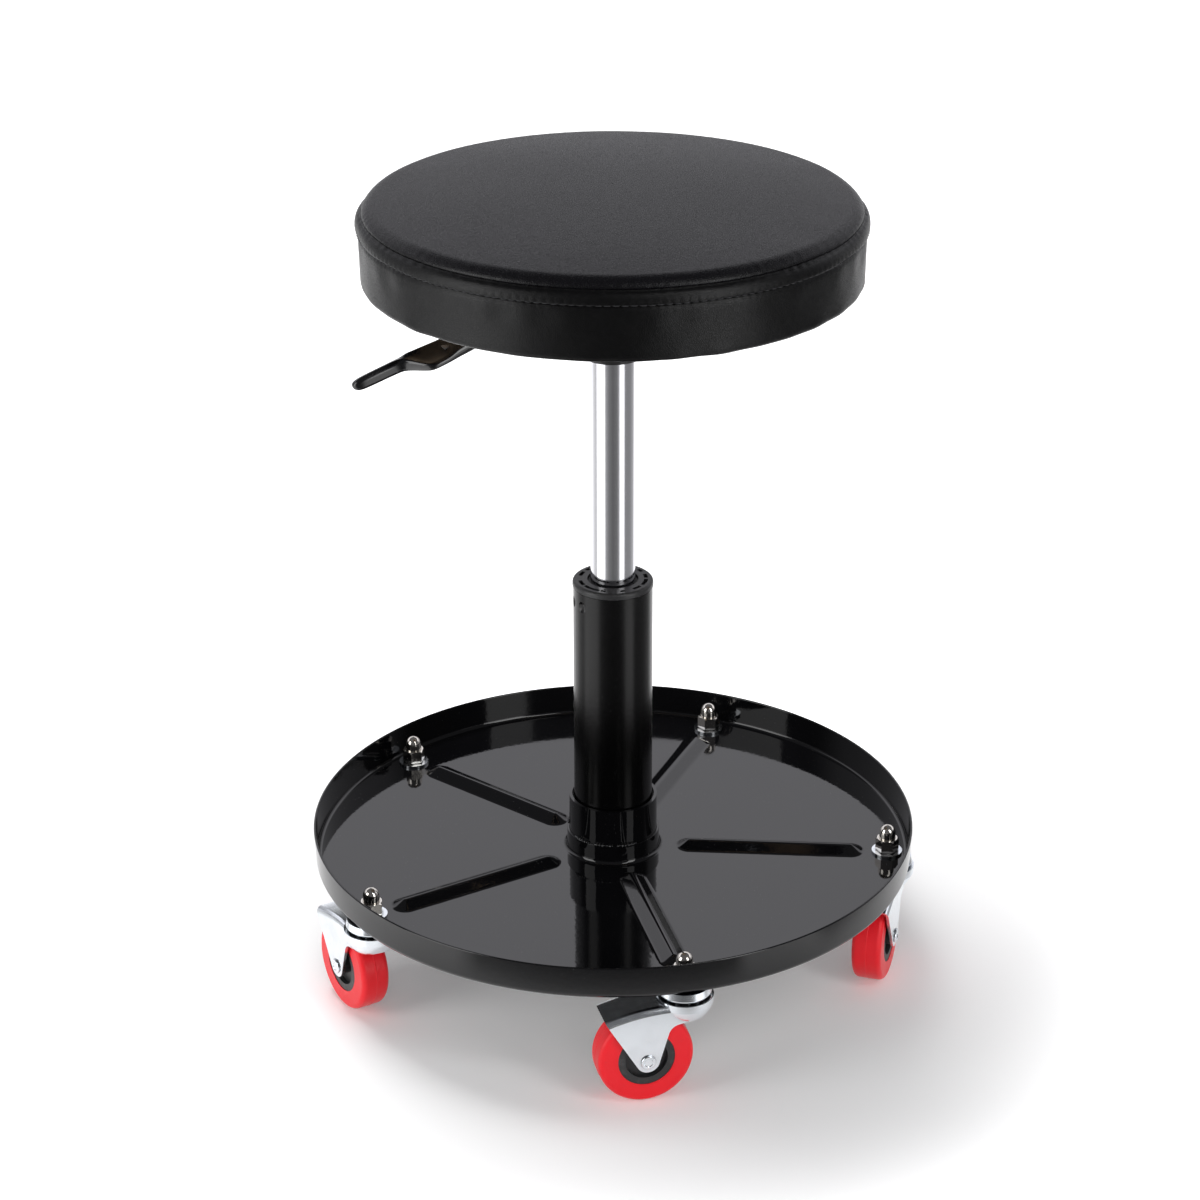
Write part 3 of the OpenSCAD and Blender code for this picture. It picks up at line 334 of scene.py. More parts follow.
def plated(name, tint, rough, patch, nicks, depth, dull=0.75):
    """Plated sheet, cloudy, with pale nicks and worn edges, and painted shade that darkens its corners."""
    finish, kit, shader = new_finish(name, Metallic=1.0)
    work = placed(kit, PLATED_SHEET, Patch_scale=patch, Nicks=nicks)
    wear = placed(kit, EDGE_WEAR, Reach=0.25)
    cloudy = kit.mix(kit.ramp(work.outputs["Cloud"], 0.3, 0.7), darker(tint, dull), (*tint, 1))
    scratched = kit.mix(work.outputs["Scratch"], cloudy, (0.9, 0.9, 0.9, 1))
    worn = kit.mix(wear.outputs["Mask"], scratched, (0.95, 0.95, 0.96, 1))
    # Painted shade: ambient occlusion darkens the plating's colour in corners, round the rivet and at the
    # fold.
    corner = kit.put(kit.add("ShaderNodeAmbientOcclusion", samples=6), Distance=0.0022)
    unshaded_part = kit.ramp(corner.outputs["AO"], 0.35, 0.92)
    kit.put(shader, Base_Color=kit.mix(unshaded_part, darker(tint, 0.30), worn),
            Roughness=kit.ramp(work.outputs["Cloud"], 0.3, 0.75, rough * 0.75, rough * 1.3))
    bumped(kit, shader, work.outputs["Height"], depth)
    return finish


def moulded(name, dark, light, rough, peel_depth, coat=0.0):
    """Moulded plastic or rubber, paler on its worn edges."""
    finish, kit, shader = new_finish(name, IOR=1.49, Coat_Weight=coat, Coat_Roughness=0.06)
    work = placed(kit, BAKED_PAINT, Dust=0.5)
    wear = placed(kit, EDGE_WEAR, Reach=0.5)
    tone = kit.mix(work.outputs["Marks"], (*dark, 1), (*light, 1))
    worn = (*[min(1, c * 2.2 + 0.01) for c in light], 1)
    kit.put(shader, Base_Color=kit.mix(wear.outputs["Mask"], tone, worn),
            Roughness=kit.ramp(work.outputs["Marks"], 0.0, 1.0, rough, rough + 0.1))
    bumped(kit, shader, work.outputs["Height"], peel_depth)
    return finish


def plywood_finish():
    finish, kit, shader = new_finish("birch_plywood", IOR=1.45)
    place = kit.place()
    grain = kit.noise(kit.stretched(place, (1.0, 0.06, 4.0)), 190.0, 6.0, 0.6, 0.6)
    plies = kit.add("ShaderNodeTexWave", bands_direction="Z")
    kit.put(plies, Vector=place, Scale=155.0, Distortion=0.4)
    base = kit.mix(kit.ramp(grain, 0.35, 0.7), (0.30, 0.22, 0.14, 1), (0.17, 0.11, 0.06, 1))
    side = kit.mix(kit.math("MULTIPLY", plies.outputs["Fac"], 0.3), base, (0.12, 0.08, 0.05, 1))
    kit.put(shader, Base_Color=side, Roughness=kit.ramp(grain, 0.3, 0.7, 0.55, 0.75))
    bumped(kit, shader, grain, 0.0002)
    return finish


def foam_finish():
    finish, kit, shader = new_finish("cushion_foam", IOR=1.3)
    place = kit.place()
    pores = kit.put(kit.add("ShaderNodeTexVoronoi", feature="F1"), Vector=place, Scale=700.0)
    depth = pores.outputs["Distance"]
    kit.put(shader, Base_Color=kit.mix(depth, (0.72, 0.62, 0.36, 1), (0.88, 0.82, 0.60, 1)),
            Roughness=kit.ramp(depth, 0.0, 0.8, 0.85, 0.98))
    bumped(kit, shader, depth, 0.0006)
    return finish


def thread_finish():
    finish, kit, shader = new_finish("sewing_thread", IOR=1.45)
    place = kit.place()
    twist = kit.noise(place, 5200.0, 1.0)
    kit.put(shader, Base_Color=kit.mix(twist, (0.010, 0.010, 0.011, 1), (0.035, 0.035, 0.038, 1)),
            Roughness=kit.ramp(twist, 0.3, 0.7, 0.45, 0.7))
    bumped(kit, shader, twist, 0.0001)
    return finish


def tread_finish():
    """Cast red polyurethane: a soft skin, pale scuffs and slow changes of tone."""
    finish, kit, shader = new_finish("red_polyurethane", IOR=1.44, Subsurface_Weight=0.08,
                                     Subsurface_Scale=0.004, Subsurface_Radius=(1.0, 0.12, 0.08))
    place = kit.place()
    tone = kit.noise(place, 40.0, 4.0, 0.55)
    scuff = kit.ramp(kit.noise(place, 260.0, 5.0, 0.65), 0.58, 0.80)
    base = kit.mix(tone, (0.86, 0.006, 0.014, 1), (0.98, 0.012, 0.024, 1))
    kit.put(shader, Base_Color=kit.mix(kit.math("MULTIPLY", scuff, 0.15), base, (0.45, 0.06, 0.06, 1)),
            Roughness=kit.ramp(tone, 0.3, 0.7, 0.34, 0.46))
    bumped(kit, shader, kit.noise(place, 420.0, 3.0), 0.00012)
    return finish


TRAY_PAINT = paint("gloss_black_paint", (0.0025, 0.0025, 0.0030), (0.0040, 0.0040, 0.0046), 0.045,
                   1.0, 0.00002)
COLUMN_PAINT = paint("satin_black_paint", (0.0010, 0.0010, 0.0011), (0.0020, 0.0020, 0.0022), 0.22,
                     0.6, 0.00003, ior=1.38)
FRAME_PAINT = paint("matt_black_paint", (0.006, 0.006, 0.006), (0.012, 0.012, 0.012), 0.42, 0.6, 0.00012)
# The top panel and the side pieces are one vinyl; the sides' darker colour is painted shade.
TOP_VINYL = vinyl("seat_vinyl", (0.0028, 0.0026, 0.0036), (0.0042, 0.0040, 0.0054), 0.27, 0.00006)
SHADED_SIDE_VINYL = vinyl("shaded_side_vinyl", (0.0008, 0.0008, 0.0009), (0.0014, 0.0014, 0.0016), 0.29, 0.00006)
CYLINDER_STEEL = steel("hard_chrome", (0.84, 0.84, 0.87), 0.11, 2600.0, 0.000002, bands=0.03,
                       ground_round=0.5)
RACE_STEEL = steel("turned_race_steel", (0.58, 0.58, 0.60), 0.28, 3200.0, 0.00003)
ROD_STEEL = steel("chromed_rod", (0.75, 0.76, 0.78), 0.12, 3600.0, 0.00001)
LEVER_STEEL = steel("flat_bar_steel", (0.30, 0.30, 0.31), 0.38, 700.0, 0.00005)
ZINC = plated("bright_zinc", (0.87, 0.91, 0.95), 0.20, 110.0, 0.5, 0.000015, 0.90)
BALL_STEEL = plated("polished_ball", (0.82, 0.83, 0.85), 0.10, 300.0, 0.2, 0.00001, 0.92)
NICKEL = plated("nickel_plate", (0.86, 0.82, 0.76), 0.09, 220.0, 0.4, 0.00002, 0.88)
CAP_PLASTIC = moulded("cap_plastic", (0.016, 0.016, 0.017), (0.026, 0.026, 0.027), 0.38, 0.00010)
CORE_PLASTIC = moulded("core_plastic", (0.018, 0.019, 0.020), (0.028, 0.029, 0.030), 0.42, 0.00014)
INNER_PLASTIC = moulded("inner_plastic", (0.02, 0.02, 0.021), (0.035, 0.035, 0.036), 0.5, 0.0001)
GRIP_PLASTIC = moulded("gloss_grip_plastic", (0.002, 0.002, 0.0023), (0.004, 0.004, 0.0045), 0.12, 0.00002,
                       coat=0.4)
SEAL_RUBBER = moulded("seal_rubber", (0.008, 0.008, 0.008), (0.014, 0.014, 0.014), 0.6, 0.00010)
PLYWOOD = plywood_finish()
FOAM = foam_finish()
THREAD = thread_finish()
TREAD = tread_finish()

FINISH_OF = {
    "tray": TRAY_PAINT, "column_socket": TRAY_PAINT, "socket_welds": TRAY_PAINT,
    "column_tube": COLUMN_PAINT, "column_cap": CAP_PLASTIC, "wiper_ring": SEAL_RUBBER,
    "bearing_lower_race": RACE_STEEL, "bearing_balls": BALL_STEEL, "bearing_upper_race": RACE_STEEL,
    "rubber_buffer": SEAL_RUBBER, "buffer_washer": RACE_STEEL, "rod_clip": RACE_STEEL,
    "piston_rod": ROD_STEEL, "piston": RACE_STEEL, "gas_cylinder": CYLINDER_STEEL,
    "cylinder_gland": INNER_PLASTIC, "valve_body": RACE_STEEL, "release_pin": ROD_STEEL,
    "stud_washers": ZINC, "acorn_nuts": NICKEL, "caster_balls": BALL_STEEL,
    "lift_cone": FRAME_PAINT, "lever_housing": FRAME_PAINT, "seat_plate": FRAME_PAINT,
    "seat_bolts": ZINC, "tee_nuts": ZINC, "lever_arm": LEVER_STEEL, "lever_grip": GRIP_PLASTIC,
    "lever_pin": ZINC, "seat_board": PLYWOOD, "seat_foam": FOAM, "seat_top_panel": TOP_VINYL,
    "seat_binding": SHADED_SIDE_VINYL, "seat_side_band": SHADED_SIDE_VINYL,
}
CASTER_FINISH_OF = {"caster_stem": ZINC, "caster_fork": ZINC, "caster_axle": ZINC,
                    "wheel_core": CORE_PLASTIC, "wheel_tread": TREAD}
FINISH_OF.update({f"{part}_{n}": finish for n in CASTERS for part, finish in CASTER_FINISH_OF.items()})
for name, node in NODES.items():
    node.data.materials.clear()
    node.data.materials.append(FINISH_OF[name])


# Mesh helpers

def new_piece(name, points, faces, finish, body, slot):
    mesh = bpy.data.meshes.new(name)
    mesh.from_pydata([tuple(p) for p in points], [], faces)
    mesh.update()
    mesh.shade_smooth()
    mesh.materials.append(finish)
    piece = bpy.data.objects.new(name, mesh)
    bpy.context.scene.collection.objects.link(piece)
    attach(piece, body)
    return piece


def grid_faces(rows, around, closed_rows=False):
    """Quads between rings of points, row by row, each ring joined to itself."""
    faces = []
    for i in range(rows if closed_rows else rows - 1):
        a, b = i * around, ((i + 1) % rows) * around
        for j in range(around):
            k = (j + 1) % around
            faces.append((a + j, a + k, b + k, b + j))
    return faces


def end_ring(row, around):
    """One ring of points as a single face."""
    return tuple(row * around + k for k in range(around))


def rod_faces(rows, around):
    """Quads between rings of points, with both ends closed."""
    return grid_faces(rows, around) + [end_ring(0, around)[::-1], end_ring(rows - 1, around)]


def joined(parts):
    """Points and faces of many small parts as one mesh."""
    points, faces = [], []
    for part_points, part_faces in parts:
        faces += [tuple(v + len(points) for v in face) for face in part_faces]
        points += part_points
    return points, faces


def arc_line(cx, cz, r, a0, a1, n):
    angles = np.radians(np.linspace(a0, a1, n + 1))
    return np.stack([cx + r * np.cos(angles), cz + r * np.sin(angles)], 1)


def even_line(points, step):
    """The same line with points about one step apart."""
    points = np.asarray(points, float)
    run = np.concatenate([[0], np.cumsum(np.linalg.norm(np.diff(points, axis=0), axis=1))])
    count = max(2, int(round(run[-1] / step)) + 1)
    at = np.linspace(0, run[-1], count)
    return np.stack([np.interp(at, run, points[:, i]) for i in (0, 1)], 1), at


def waves(angles, low, high, seed):
    """A smooth closed random wave round the seat, from low to high cycles a turn, with unit spread."""
    draw = np.random.default_rng(seed)
    counts = np.arange(low, high + 1)
    phases = draw.uniform(0, 2 * math.pi, len(counts))
    sizes = draw.uniform(0.4, 1.0, len(counts))
    total = sum(s * np.cos(k * angles + p) for k, s, p in zip(counts, sizes, phases))
    return total / max(1e-9, total.std())


def turned_sheet(name, line, thickness, around, move, finish, body, slot):
    """A closed sheet turned about the column's axis. The line is its outer face, from which the inner
    face lies one thickness away, and move(angles, runs) gives how far each point stands out."""
    line, runs = line
    tangent = np.gradient(line, axis=0)
    tangent /= np.linalg.norm(tangent, axis=1)[:, None]
    normal = np.stack([tangent[:, 1], -tangent[:, 0]], 1)
    angles = np.linspace(0, 2 * math.pi, around, endpoint=False)
    out = move(angles[None, :], runs[:, None])
    rings = []
    for depth in (0.0, -thickness):
        r = line[:, 0:1] + normal[:, 0:1] * (out + depth)
        z = line[:, 1:2] + normal[:, 1:2] * (out + depth)
        ring = np.stack([r * np.cos(angles), r * np.sin(angles), z], 2)
        rings.append(ring if depth == 0.0 else ring[::-1])
    points = np.concatenate(rings).reshape(-1, 3)
    faces = grid_faces(2 * len(line), around, closed_rows=True)
    return new_piece(name, points, faces, finish, body, slot)


# Seat cover

def top_panel_line():
    """From the tuck in the seam, up the shoulder and over the dome to the crown."""
    lean = math.radians(SEAM_LEAN)
    tuck = arc_line(SEAM_R - TUCK_ROLL * math.cos(lean), SEAM_Z - TUCK_ROLL * math.sin(lean), TUCK_ROLL,
                    -80, SEAM_LEAN, 9)
    shoulder = arc_line(SHOULDER_X, SHOULDER_Z, SHOULDER_R, SEAM_LEAN + 3, 90 - DOME_TILT, 30)
    dome = arc_line(0, CROWN_Z - DOME_R, DOME_R, 90 - DOME_TILT, 90 - 0.003, 60)
    return even_line(np.concatenate([tuck, shoulder, dome[1:]]), 0.0011)


def bow_line(start, pull, end, n):
    """A curve from start to end, drawn towards the point pull."""
    t = np.linspace(0, 1, n + 1)[:, None]
    start, pull, end = (np.array(p) for p in (start, pull, end))
    return (1 - t) ** 2 * start + 2 * t * (1 - t) * pull + t ** 2 * end


def binding_line():
    top = arc_line(SEAM_R, BINDING_HEAD_Z, EDGE_ROLL, 150, 0, 7)
    side = bow_line((SEAM_R + EDGE_ROLL, BINDING_HEAD_Z), (SEAT_R, BINDING_BOW_Z),
                    (SEAT_R, BINDING_Z + EDGE_ROLL), 14)
    foot = arc_line(SEAT_R - EDGE_ROLL, BINDING_Z + EDGE_ROLL, EDGE_ROLL, 0, -140, 7)
    return even_line(np.concatenate([top, side[1:], foot[1:]])[::-1], 0.0006)


def band_line():
    top = arc_line(BAND_TOP_R - EDGE_ROLL + 0.0004, BINDING_Z - 0.0012, EDGE_ROLL, 150, 20, 7)
    side = np.array(BAND_BOW)
    foot = arc_line(BAND_FOOT_R, HEM_Z + BAND_ROLL, BAND_ROLL, 8, -90, 10)
    hem = np.array([[0.1440, HEM_Z], [0.1380, HEM_Z], [HEM_R, HEM_Z]])
    return even_line(np.concatenate([top, side, foot, hem])[::-1], 0.0010)


def fade(x, start, end):
    """From 0 at the start to 1 at the end, without a corner."""
    t = np.clip((x - start) / (end - start), 0, 1)
    return t * t * (3 - 2 * t)


def swell(x, middle, width):
    """1 in the middle, dying away over about the width on both sides."""
    return np.exp(-((x - middle) / width) ** 2)


def make_cover():
    """The three sewn vinyl pieces. Each move gives a point's height over the plain form, in metres, from
    its angle and its run along the piece's section."""
    around = 720
    top_line, top_runs = top_panel_line()

    def top_move(a, s):
        near = np.exp(-s / 0.006)
        mid = swell(s, 0.020, 0.018)
        rise = 0.00007 * near * waves(a, 70, 150, SEED) + 0.00005 * mid * waves(a, 6, 22, SEED + 1)
        slow = 0.00015 * fade(s, 0.01, 0.05) * waves(a, 2, 5, SEED + 2)
        return (rise + slow * (1 - fade(s, 0.06, 0.14))) * fade(s, 0.0, 0.002)

    top = turned_sheet("cover_top_panel", (top_line, top_runs), SKIN, around, top_move, TOP_VINYL,
                       "seat", "vinyl")
    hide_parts("seat_top_panel")

    bind_line, bind_runs = binding_line()
    length = bind_runs[-1]

    def bind_move(a, s):
        foot = swell(s, 0.002, 0.0025)
        head = swell(length - s, 0.002, 0.0025)
        scallop = np.abs(np.cos(a * STITCHES / 2))
        return (0.00016 * foot * (scallop - 0.6) + 0.00008 * head * waves(a, 80, 160, SEED + 3)
                + 0.00015 * waves(a, 5, 20, SEED + 4)) * fade(s, 0, 0.001) * fade(length - s, 0, 0.001)

    binding = turned_sheet("cover_binding", (bind_line, bind_runs), BINDING_SKIN, around * 2, bind_move,
                           SHADED_SIDE_VINYL, "seat", "vinyl_side")
    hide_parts("seat_binding")

    side_line, side_runs = band_line()
    whole = side_runs[-1]
    hem_run = BAND_FOOT_R - HEM_R

    def band_move(a, s):
        down = whole - s
        scallop = np.abs(np.cos(a * STITCHES / 2 + 0.4 * waves(a, 3, 9, 3)))
        pucker = np.exp(-down / 0.003) * (0.00022 * scallop - 0.00013)
        drape = 0.00016 * swell(down, 0.010, 0.008) * waves(a, 16, 44, SEED + 5)
        slow = 0.00022 * waves(a, 4, 14, SEED + 6) * fade(s, hem_run, hem_run + 0.012)
        pull = 0.00012 * swell(s - hem_run, 0.004, 0.006) * waves(a, 14, 40, SEED + 7)
        folds = np.maximum(0, waves(a, 60, 120, SEED + 8))
        pleat = 0.00030 * (1 - fade(s, hem_run - 0.004, hem_run)) * folds
        return (pucker + drape + slow + pull) * fade(down, 0, 0.0015) + pleat

    band = turned_sheet("cover_side_band", (side_line, side_runs), SKIN, around * 2, band_move,
                        SHADED_SIDE_VINYL, "seat", "vinyl_side")
    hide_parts("seat_side_band")
    return top, binding, band


def wire_along(path, radius, sides=6):
    """Points and faces of a round thread or wire along a path, with closed ends."""
    path = np.asarray(path, float)
    points = []
    for p, t in zip(path, np.gradient(path, axis=0)):
        t = t / np.linalg.norm(t)
        side = np.cross(t, (0, 0, 1.0))
        side /= np.linalg.norm(side)
        lift = np.cross(side, t)
        for k in range(sides):
            a = 2 * math.pi * k / sides
            points.append(p + radius * (math.cos(a) * side + math.sin(a) * lift))
    return points, rod_faces(len(path), sides)


def make_stitches():
    """Black thread in the lower seam: each stitch lies on the vinyl and dips into its two holes."""
    draw = np.random.default_rng(SEED + 20)
    threads = []
    step = 2 * math.pi / STITCHES
    for i in range(STITCHES):
        start = i * step + draw.normal(0, 0.02) * step
        rise = draw.normal(0, 0.00008)
        path = []
        for t in np.linspace(0, 1, 7):
            a = start + step * 0.80 * t
            dip = 0.0009 * (2 * t - 1) ** 4
            r = SEAT_R - 0.00035 - dip
            path.append((r * math.cos(a), r * math.sin(a), BINDING_Z + 0.0001 + rise))
        threads.append(wire_along(path, THREAD_R))
    return new_piece("seam_stitches", *joined(threads), THREAD, "seat", "vinyl_side")


def make_staples():
    """Wire staples that hold the hem to the board, in one uneven ring."""
    draw = np.random.default_rng(SEED + 21)
    staples = []
    for i in range(STAPLES):
        a = 2 * math.pi * (i + draw.normal(0, 0.12)) / STAPLES
        r = STAPLE_RING_R + draw.normal(0, 0.0010)
        turn = a + math.pi / 2 + draw.normal(0, 0.15)
        mid = np.array([r * math.cos(a), r * math.sin(a), HEM_Z - 0.0004])
        along = np.array([math.cos(turn), math.sin(turn), 0]) * 0.005
        leg = (0, 0, 0.0012)
        path = [mid - along + leg, mid - along * 0.96, mid, mid + along * 0.96, mid + along + leg]
        staples.append(wire_along(path, WIRE_R))
    return new_piece("hem_staples", *joined(staples), ZINC, "seat", "zinc")


def settle(pad, pinned_below, cap):
    """Blows the pad up against its own cover with cloth, and keeps each point within the cap."""
    rest = np.array([v.co for v in pad.data.vertices])
    pins = pad.vertex_groups.new(name="pins")
    pins.add([i for i, p in enumerate(rest) if p[2] < pinned_below], 1.0, "REPLACE")
    cloth = pad.modifiers.new("Cloth", "CLOTH")
    cloth.settings.use_pressure = True
    cloth.settings.uniform_pressure_force = 4.0
    cloth.settings.effector_weights.gravity = 0.0
    cloth.settings.vertex_group_mass = "pins"
    cloth.settings.mass = 0.3
    cloth.settings.tension_stiffness = 25
    cloth.settings.compression_stiffness = 25
    cloth.settings.bending_stiffness = 2
    cloth.settings.quality = 6
    cloth.collision_settings.use_collision = False
    scene = bpy.context.scene
    for step in range(1, 21):
        scene.frame_set(step)
    seen = pad.evaluated_get(bpy.context.evaluated_depsgraph_get())
    moved = np.array([v.co for v in seen.data.vertices])
    pad.modifiers.remove(cloth)
    scene.frame_set(1)
    shift = moved - rest
    size = np.linalg.norm(shift, axis=1)[:, None]
    shift *= np.minimum(1.0, cap / np.maximum(size, 1e-9))
    pad.data.vertices.foreach_set("co", (rest + shift).astype(np.float32).ravel())
    pad.data.update()


def make_foam_pad():
    """The foam under the cover: a closed crowned pad, remeshed and blown up by the cloth solver."""
    top = arc_line(0, CROWN_Z - DOME_R, DOME_R - PAD_INSET, 90 - 0.02, 90 - DOME_TILT, 30)
    shoulder = arc_line(SHOULDER_X, SHOULDER_Z, SHOULDER_R - PAD_INSET, 80, 20, 8)
    side = np.array([[PAD_R, 0.4985], [PAD_R, 0.490], [PAD_R - 0.0003, 0.484], [PAD_R, BOARD_TOP_Z + 0.0015]])
    base_z = BOARD_TOP_Z + 0.0003
    base = np.array([[PAD_R - 0.0015, base_z], [0.08, base_z], [0.0002, base_z]])
    line, _ = even_line(np.concatenate([top, shoulder, side, base]), 0.004)
    around = 160
    angles = np.linspace(0, 2 * math.pi, around, endpoint=False)
    points = np.stack([line[:, 0:1] * np.cos(angles), line[:, 0:1] * np.sin(angles),
                       np.repeat(line[:, 1:2], around, 1)], 2).reshape(-1, 3)
    faces = grid_faces(len(line), around) + [end_ring(0, around), end_ring(len(line) - 1, around)[::-1]]
    pad = new_piece("seat_foam_pad", points, faces, FOAM, "seat", "foam")
    remesh = pad.modifiers.new("Remesh", "REMESH")
    remesh.mode = "VOXEL"
    remesh.voxel_size = PAD_VOXEL
    remesh.use_smooth_shade = True
    seen = pad.evaluated_get(bpy.context.evaluated_depsgraph_get())
    mesh = bpy.data.meshes.new_from_object(seen)
    pad.modifiers.clear()
    pad.data = mesh
    mesh.name = "seat_foam_pad"
    settle(pad, BOARD_TOP_Z + 0.002, PAD_SWELL)
    smooth = pad.modifiers.new("Subdivision", "SUBSURF")
    smooth.levels = smooth.render_levels = 1
    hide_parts("seat_foam")
    return pad


# Lever grip. Each row is one section across it, in millimetres: distance from the column's axis, rear
# edge, front edge, height of the top at the rear and at the front, underside, and depth of the cup.
GRIP_ROWS = [
    (167.9, -14.2, -12.2, 0.6, 0.6, -0.8, 0), (167.5, -15.2, -11.2, 1.7, 1.7, -1.9, 0),
    (166.4, -16.4, -10.0, 2.4, 2.9, -3.1, -0.2), (164.0, -17.2, -9.2, 2.9, 3.9, -3.9, -0.2),
    (160.0, -17.4, -8.8, 3.1, 4.4, -4.3, -0.2), (150.0, -17.0, -8.2, 3.1, 4.5, -4.4, -0.2),
    (141.0, -16.5, -7.5, 3.2, 4.5, -4.5, -0.2), (137.5, -16.2, -6.8, 3.3, 4.4, -4.5, -0.1),
    (135.0, -15.8, -3.6, 3.5, 3.8, -4.4, -0.3), (132.5, -15.4, 0.2, 4.5, 3.0, -4.3, 0.3),
    (129.5, -14.9, 4.8, 4.5, 1.6, -4.2, 1.0), (127.0, -14.4, 8.0, 4.5, 0.9, -4.1, 1.4),
    (124.5, -13.9, 8.9, 4.6, 0.7, -4.1, 1.6), (120.0, -13.1, 9.1, 4.6, 0.7, -4.1, 1.6),
    (116.0, -12.5, 9.2, 4.6, 1.0, -4.2, 1.1), (112.5, -12.0, 9.3, 4.6, 2.4, -4.3, 0.3),
    (108.0, -11.6, 9.4, 4.6, 4.2, -4.4, 0), (100.0, -11.1, 9.4, 4.6, 4.5, -4.5, 0),
    (96.0, -10.6, 9.0, 4.7, 4.6, -4.6, 0), (93.2, -9.2, 7.9, 4.8, 4.8, -4.7, 0),
    (91.4, -7.2, 6.3, 4.9, 4.9, -4.8, 0), (90.4, -5.2, 4.6, 4.7, 4.7, -4.6, 0),
    (90.0, -4.2, 3.8, 4.4, 4.4, -4.3, 0)]
LEVER_A = math.radians(210)
LEVER_SLOPE = math.radians(16.7)
LEVER_BEND_R = 0.070
ARM_Z = 0.4471


def rounded_section(rear, front, top_rear, top_front, low, cup):
    """Points round one section of the grip as (across, up), with its four corners rounded."""
    wide, tall_rear, tall_front = front - rear, top_rear - low, top_front - low
    corners = [
        (rear, top_rear, min(0.46 * tall_rear, 0.4 * wide), 180, 90),
        (front, top_front, min(0.40 * tall_front, 0.3 * wide), 90, 0),
        (front, low, min(0.46 * tall_front, 0.4 * wide), 0, -90),
        (rear, low, min(0.46 * tall_rear, 0.4 * wide), -90, -180)]
    rings = []
    for i, (x, y, r, a0, a1) in enumerate(corners):
        cx = x + r if x == rear else x - r
        cy = y - r if i < 2 else y + r
        rings.append(arc_line(cx, cy, r, a0, a1, 4))
    points = []
    for i, ring in enumerate(rings):
        points += [tuple(p) for p in ring]
        start, end = ring[-1], rings[(i + 1) % 4][0]
        steps = 7 if i in (0, 2) else 2
        for k in range(1, steps):
            t = k / steps
            p = start + (end - start) * t
            drop = cup * math.sin(math.pi * t) if i == 0 else 0
            points.append((p[0], p[1] - drop))
    return points


def make_grip():
    """The moulded grip on the lever's sloping arm."""
    points = []
    for row in GRIP_ROWS:
        run = (row[0] / 1000 - LEVER_BEND_R) / math.cos(LEVER_SLOPE)
        for w, h in rounded_section(*row[1:]):
            w, h = w / 1000, h / 1000
            out = LEVER_BEND_R + run * math.cos(LEVER_SLOPE) + h * math.sin(LEVER_SLOPE)
            z = ARM_Z - run * math.sin(LEVER_SLOPE) + h * math.cos(LEVER_SLOPE)
            points.append((out * math.cos(LEVER_A) - w * math.sin(LEVER_A),
                           out * math.sin(LEVER_A) + w * math.cos(LEVER_A), z))
    around = len(points) // len(GRIP_ROWS)
    faces = [face[::-1] for face in rod_faces(len(GRIP_ROWS), around)]
    grip = new_piece("moulded_grip", points, faces, GRIP_PLASTIC, "lever", "grip_plastic")
    smooth = grip.modifiers.new("Subdivision", "SUBSURF")
    smooth.levels = smooth.render_levels = 2
    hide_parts("lever_grip")
    return grip


# Pressed tray

def rib_lift(along, across):
    """Height of a rib above the floor, and how steeply it falls away from the rib's middle line."""
    start, end = RIB_START + RIB_HALF_W, RIB_END - RIB_HALF_W
    near = np.clip(along, start, end)
    off = np.hypot(along - near, across)
    rise = RIB_FOOT_R - RIB_H + RIB_CREST_R
    reach = math.hypot(RIB_HALF_W, rise)
    flank = math.atan2(rise, RIB_HALF_W) + math.acos((RIB_FOOT_R + RIB_CREST_R) / reach)
    crest_end, foot_start = RIB_CREST_R * math.cos(flank), RIB_HALF_W - RIB_FOOT_R * math.cos(flank)
    crest = RIB_H - RIB_CREST_R + np.sqrt(np.maximum(0, RIB_CREST_R ** 2 - np.minimum(off, crest_end) ** 2))
    inward = np.clip(RIB_HALF_W - off, 0, RIB_HALF_W - foot_start)
    foot = RIB_FOOT_R - np.sqrt(RIB_FOOT_R ** 2 - inward ** 2)
    slope = -1 / math.tan(flank)
    straight = RIB_FOOT_R - RIB_FOOT_R * math.sin(flank) + slope * (off - foot_start)
    lift = np.where(off < crest_end, crest, np.where(off < foot_start, straight, foot))
    fall = np.where(off < crest_end, -off / np.sqrt(RIB_CREST_R ** 2 - np.minimum(off, crest_end) ** 2),
                    np.where(off < foot_start, slope, -inward / np.sqrt(RIB_FOOT_R ** 2 - inward ** 2)))
    safe = np.maximum(off, 1e-9)
    return lift, fall * (along - near) / safe, fall * across / safe


def arc_rows(cx, cz, r, a0, a1, n, outward):
    """Profile points on an arc with the way they face, which is away from its centre or towards it."""
    turns = [(math.cos(a), math.sin(a)) for a in np.radians(np.linspace(a0, a1, n + 1))]
    return [(cx + r * x, cz + r * z, outward * x, outward * z, 0) for x, z in turns]


